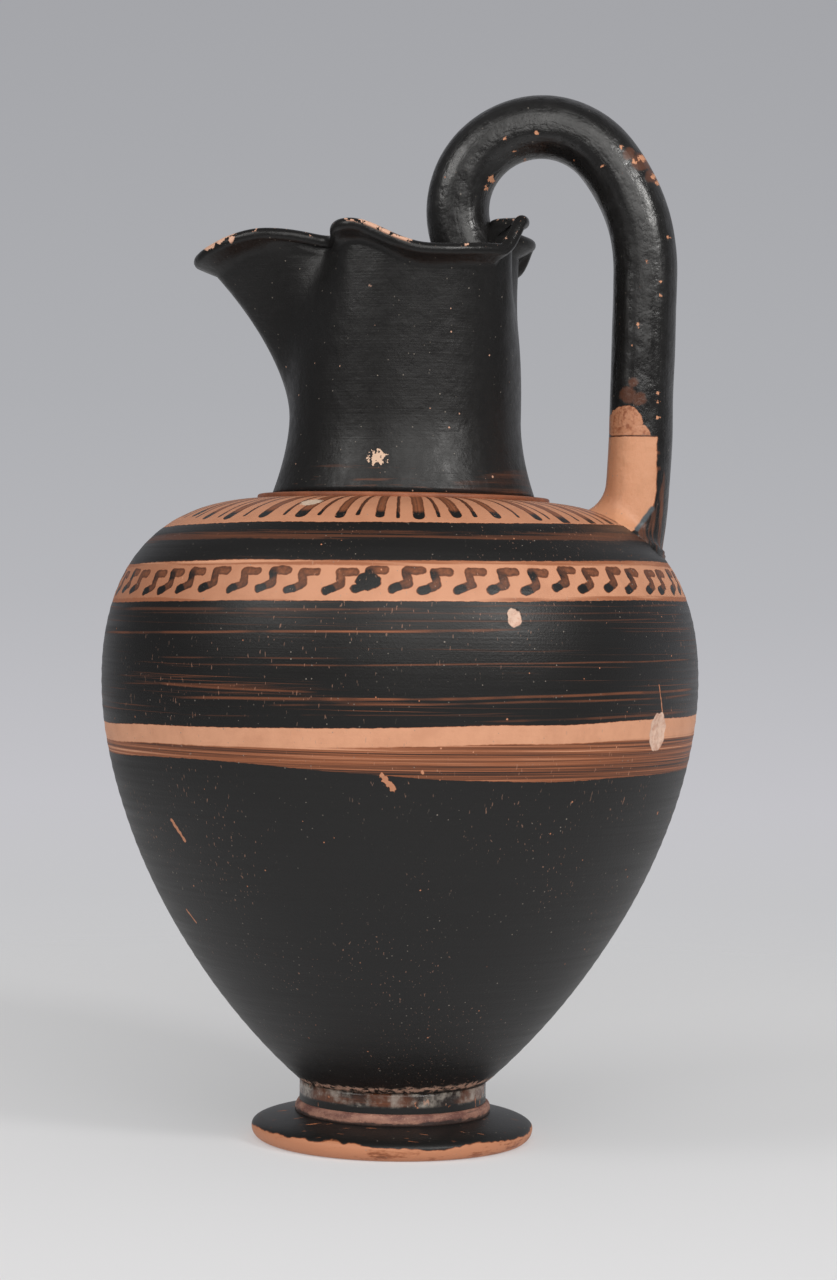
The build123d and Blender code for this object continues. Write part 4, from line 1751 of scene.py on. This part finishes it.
@dataclass
class Studio:
    """Pale floor that fades into a grey backdrop, soft lights and the camera."""

    camera_azimuth: float = 6.0
    camera_distance: float = 0.804
    camera_height: float = 0.146
    aim_height: float = 0.1335
    aim_right: float = 0.0047
    roll: float = 1.03
    focal_length: float = 84.45
    sensor_width: float = 36.0
    floor_colour: Colour = (0.5, 0.5, 0.515)
    floor_glow: float = 0.28
    floor_sides: int = 96
    floor_radius: float = 2.0
    floor_solid: float = 0.24
    floor_gone: float = 0.62
    fill: float = 0.3
    room: float = 0.28
    sky_heights: Point = (-0.3, 0.36)
    sky_ahead: Point = (0.2, 0.8)
    sky_slant: float = 0.35
    backdrop: tuple[tuple[float, Colour], ...] = (
        (0.158, (0.6, 0.6, 0.613)),
        (0.217, (0.557, 0.557, 0.572)),
        (0.283, (0.55, 0.546, 0.575)),
        (0.427, (0.47, 0.472, 0.496)),
        (0.578, (0.423, 0.428, 0.45)),
        (0.835, (0.375, 0.379, 0.4)),
    )
    lamp_aim: float = 0.13
    lamps: tuple[Lamp, ...] = (
        Lamp("right", 50.0, 28.0, 1.3, 0.26, 5.9),
        Lamp("left", -48.0, 32.0, 1.4, 0.6, 5.4),
        Lamp("front", 12.0, 32.0, 1.3, 0.9, 7.0),
    )

    def build(self) -> None:
        """Set the stage."""
        for lamp in self.lamps:
            lamp.build(Vector((0, 0, self.lamp_aim)))
        self.floor()
        self.sky()
        self.camera()
        bpy.context.scene.view_settings.view_transform = "Standard"

    def floor(self) -> None:
        """Round floor whose outer part fades away, so that no horizon shows."""
        bpy.ops.object.select_all(action="DESELECT")
        sides, radius = self.floor_sides, self.floor_radius
        bpy.ops.mesh.primitive_circle_add(vertices=sides, radius=radius, fill_type="NGON")
        item = bpy.context.object
        item.name = "floor"
        at = Surface("paper_floor")
        fade = at.smooth(at.radius, self.floor_solid / MM, self.floor_gone / MM)
        diffuse = at.node("ShaderNodeBsdfDiffuse", inputs={"Color": (*self.floor_colour, 1.0)})
        glow = at.node("ShaderNodeEmission", inputs={"Strength": self.floor_glow})
        paper = at.node("ShaderNodeAddShader", inputs={0: at.out(diffuse), 1: at.out(glow)})
        clear = at.node("ShaderNodeBsdfTransparent")
        mixed = at.node("ShaderNodeMixShader", inputs={0: fade, 1: at.out(paper), 2: at.out(clear)})
        at.node("ShaderNodeOutputMaterial", inputs={"Surface": at.out(mixed)})
        item.data.materials.append(at.owner)

    def sky(self) -> None:
        """World that the camera and reflections see as a grey gradient, and that lights evenly."""
        tree = Tree(bpy.data.worlds.new("backdrop"))
        bpy.context.scene.world = tree.owner
        view = tree.out(tree.node("ShaderNodeTexCoord"), "Generated")
        x, y, z = tree.parts("ShaderNodeSeparateXYZ", view)
        height = tree.smooth(z, *self.sky_heights)
        ahead = tree.smooth(y + x * self.sky_slant, *self.sky_ahead)
        path = tree.node("ShaderNodeLightPath")
        away = self.room + (1 - self.room) * ahead | tree.out(path, "Is Camera Ray")
        seen = tree.node("ShaderNodeBackground", inputs={0: tree.ramp(height, self.backdrop), 1: away})
        even = tree.node("ShaderNodeBackground", inputs={0: (1.0, 1.0, 1.0, 1.0), 1: self.fill})
        direct = tree.out(path, "Is Camera Ray") | tree.out(path, "Is Glossy Ray")
        direct = direct | tree.out(path, "Is Transmission Ray")
        mixed = tree.node("ShaderNodeMixShader", inputs={0: direct, 1: tree.out(even), 2: tree.out(seen)})
        tree.node("ShaderNodeOutputWorld", inputs={0: tree.out(mixed)})

    def camera(self) -> None:
        """Camera at the photograph's viewing angle."""
        data = bpy.data.cameras.new("camera")
        data.lens = self.focal_length
        data.sensor_width = self.sensor_width
        item = bpy.data.objects.new("camera", data)
        bpy.context.scene.collection.objects.link(item)
        turn = math.radians(self.camera_azimuth)
        right = Vector((math.cos(turn), math.sin(turn), 0))
        back = Vector((math.sin(turn), -math.cos(turn), 0))
        aim = right * self.aim_right + Vector((0, 0, self.aim_height))
        item.location = back * self.camera_distance + Vector((0, 0, self.camera_height))
        facing = (aim - item.location).to_track_quat("-Z", "Y").to_matrix()
        rolled = facing @ Matrix.Rotation(math.radians(self.roll), 3, "Z")
        item.rotation_euler = rolled.to_euler()
        bpy.context.scene.camera = item


def main() -> None:
    """Build the jug's pieces in order and set the stage."""
    logging.basicConfig(level=logging.INFO, format="%(message)s")
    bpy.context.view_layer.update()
    body = Body()
    body.dress(body.build())
    foot = Foot()
    foot.dress(*foot.build())
    neck = Neck()
    neck.dress(*neck.build())
    handle = Handle(body, neck)
    handle.dress(handle.build())
    Studio().build()


if __name__ == "__main__":
    main()
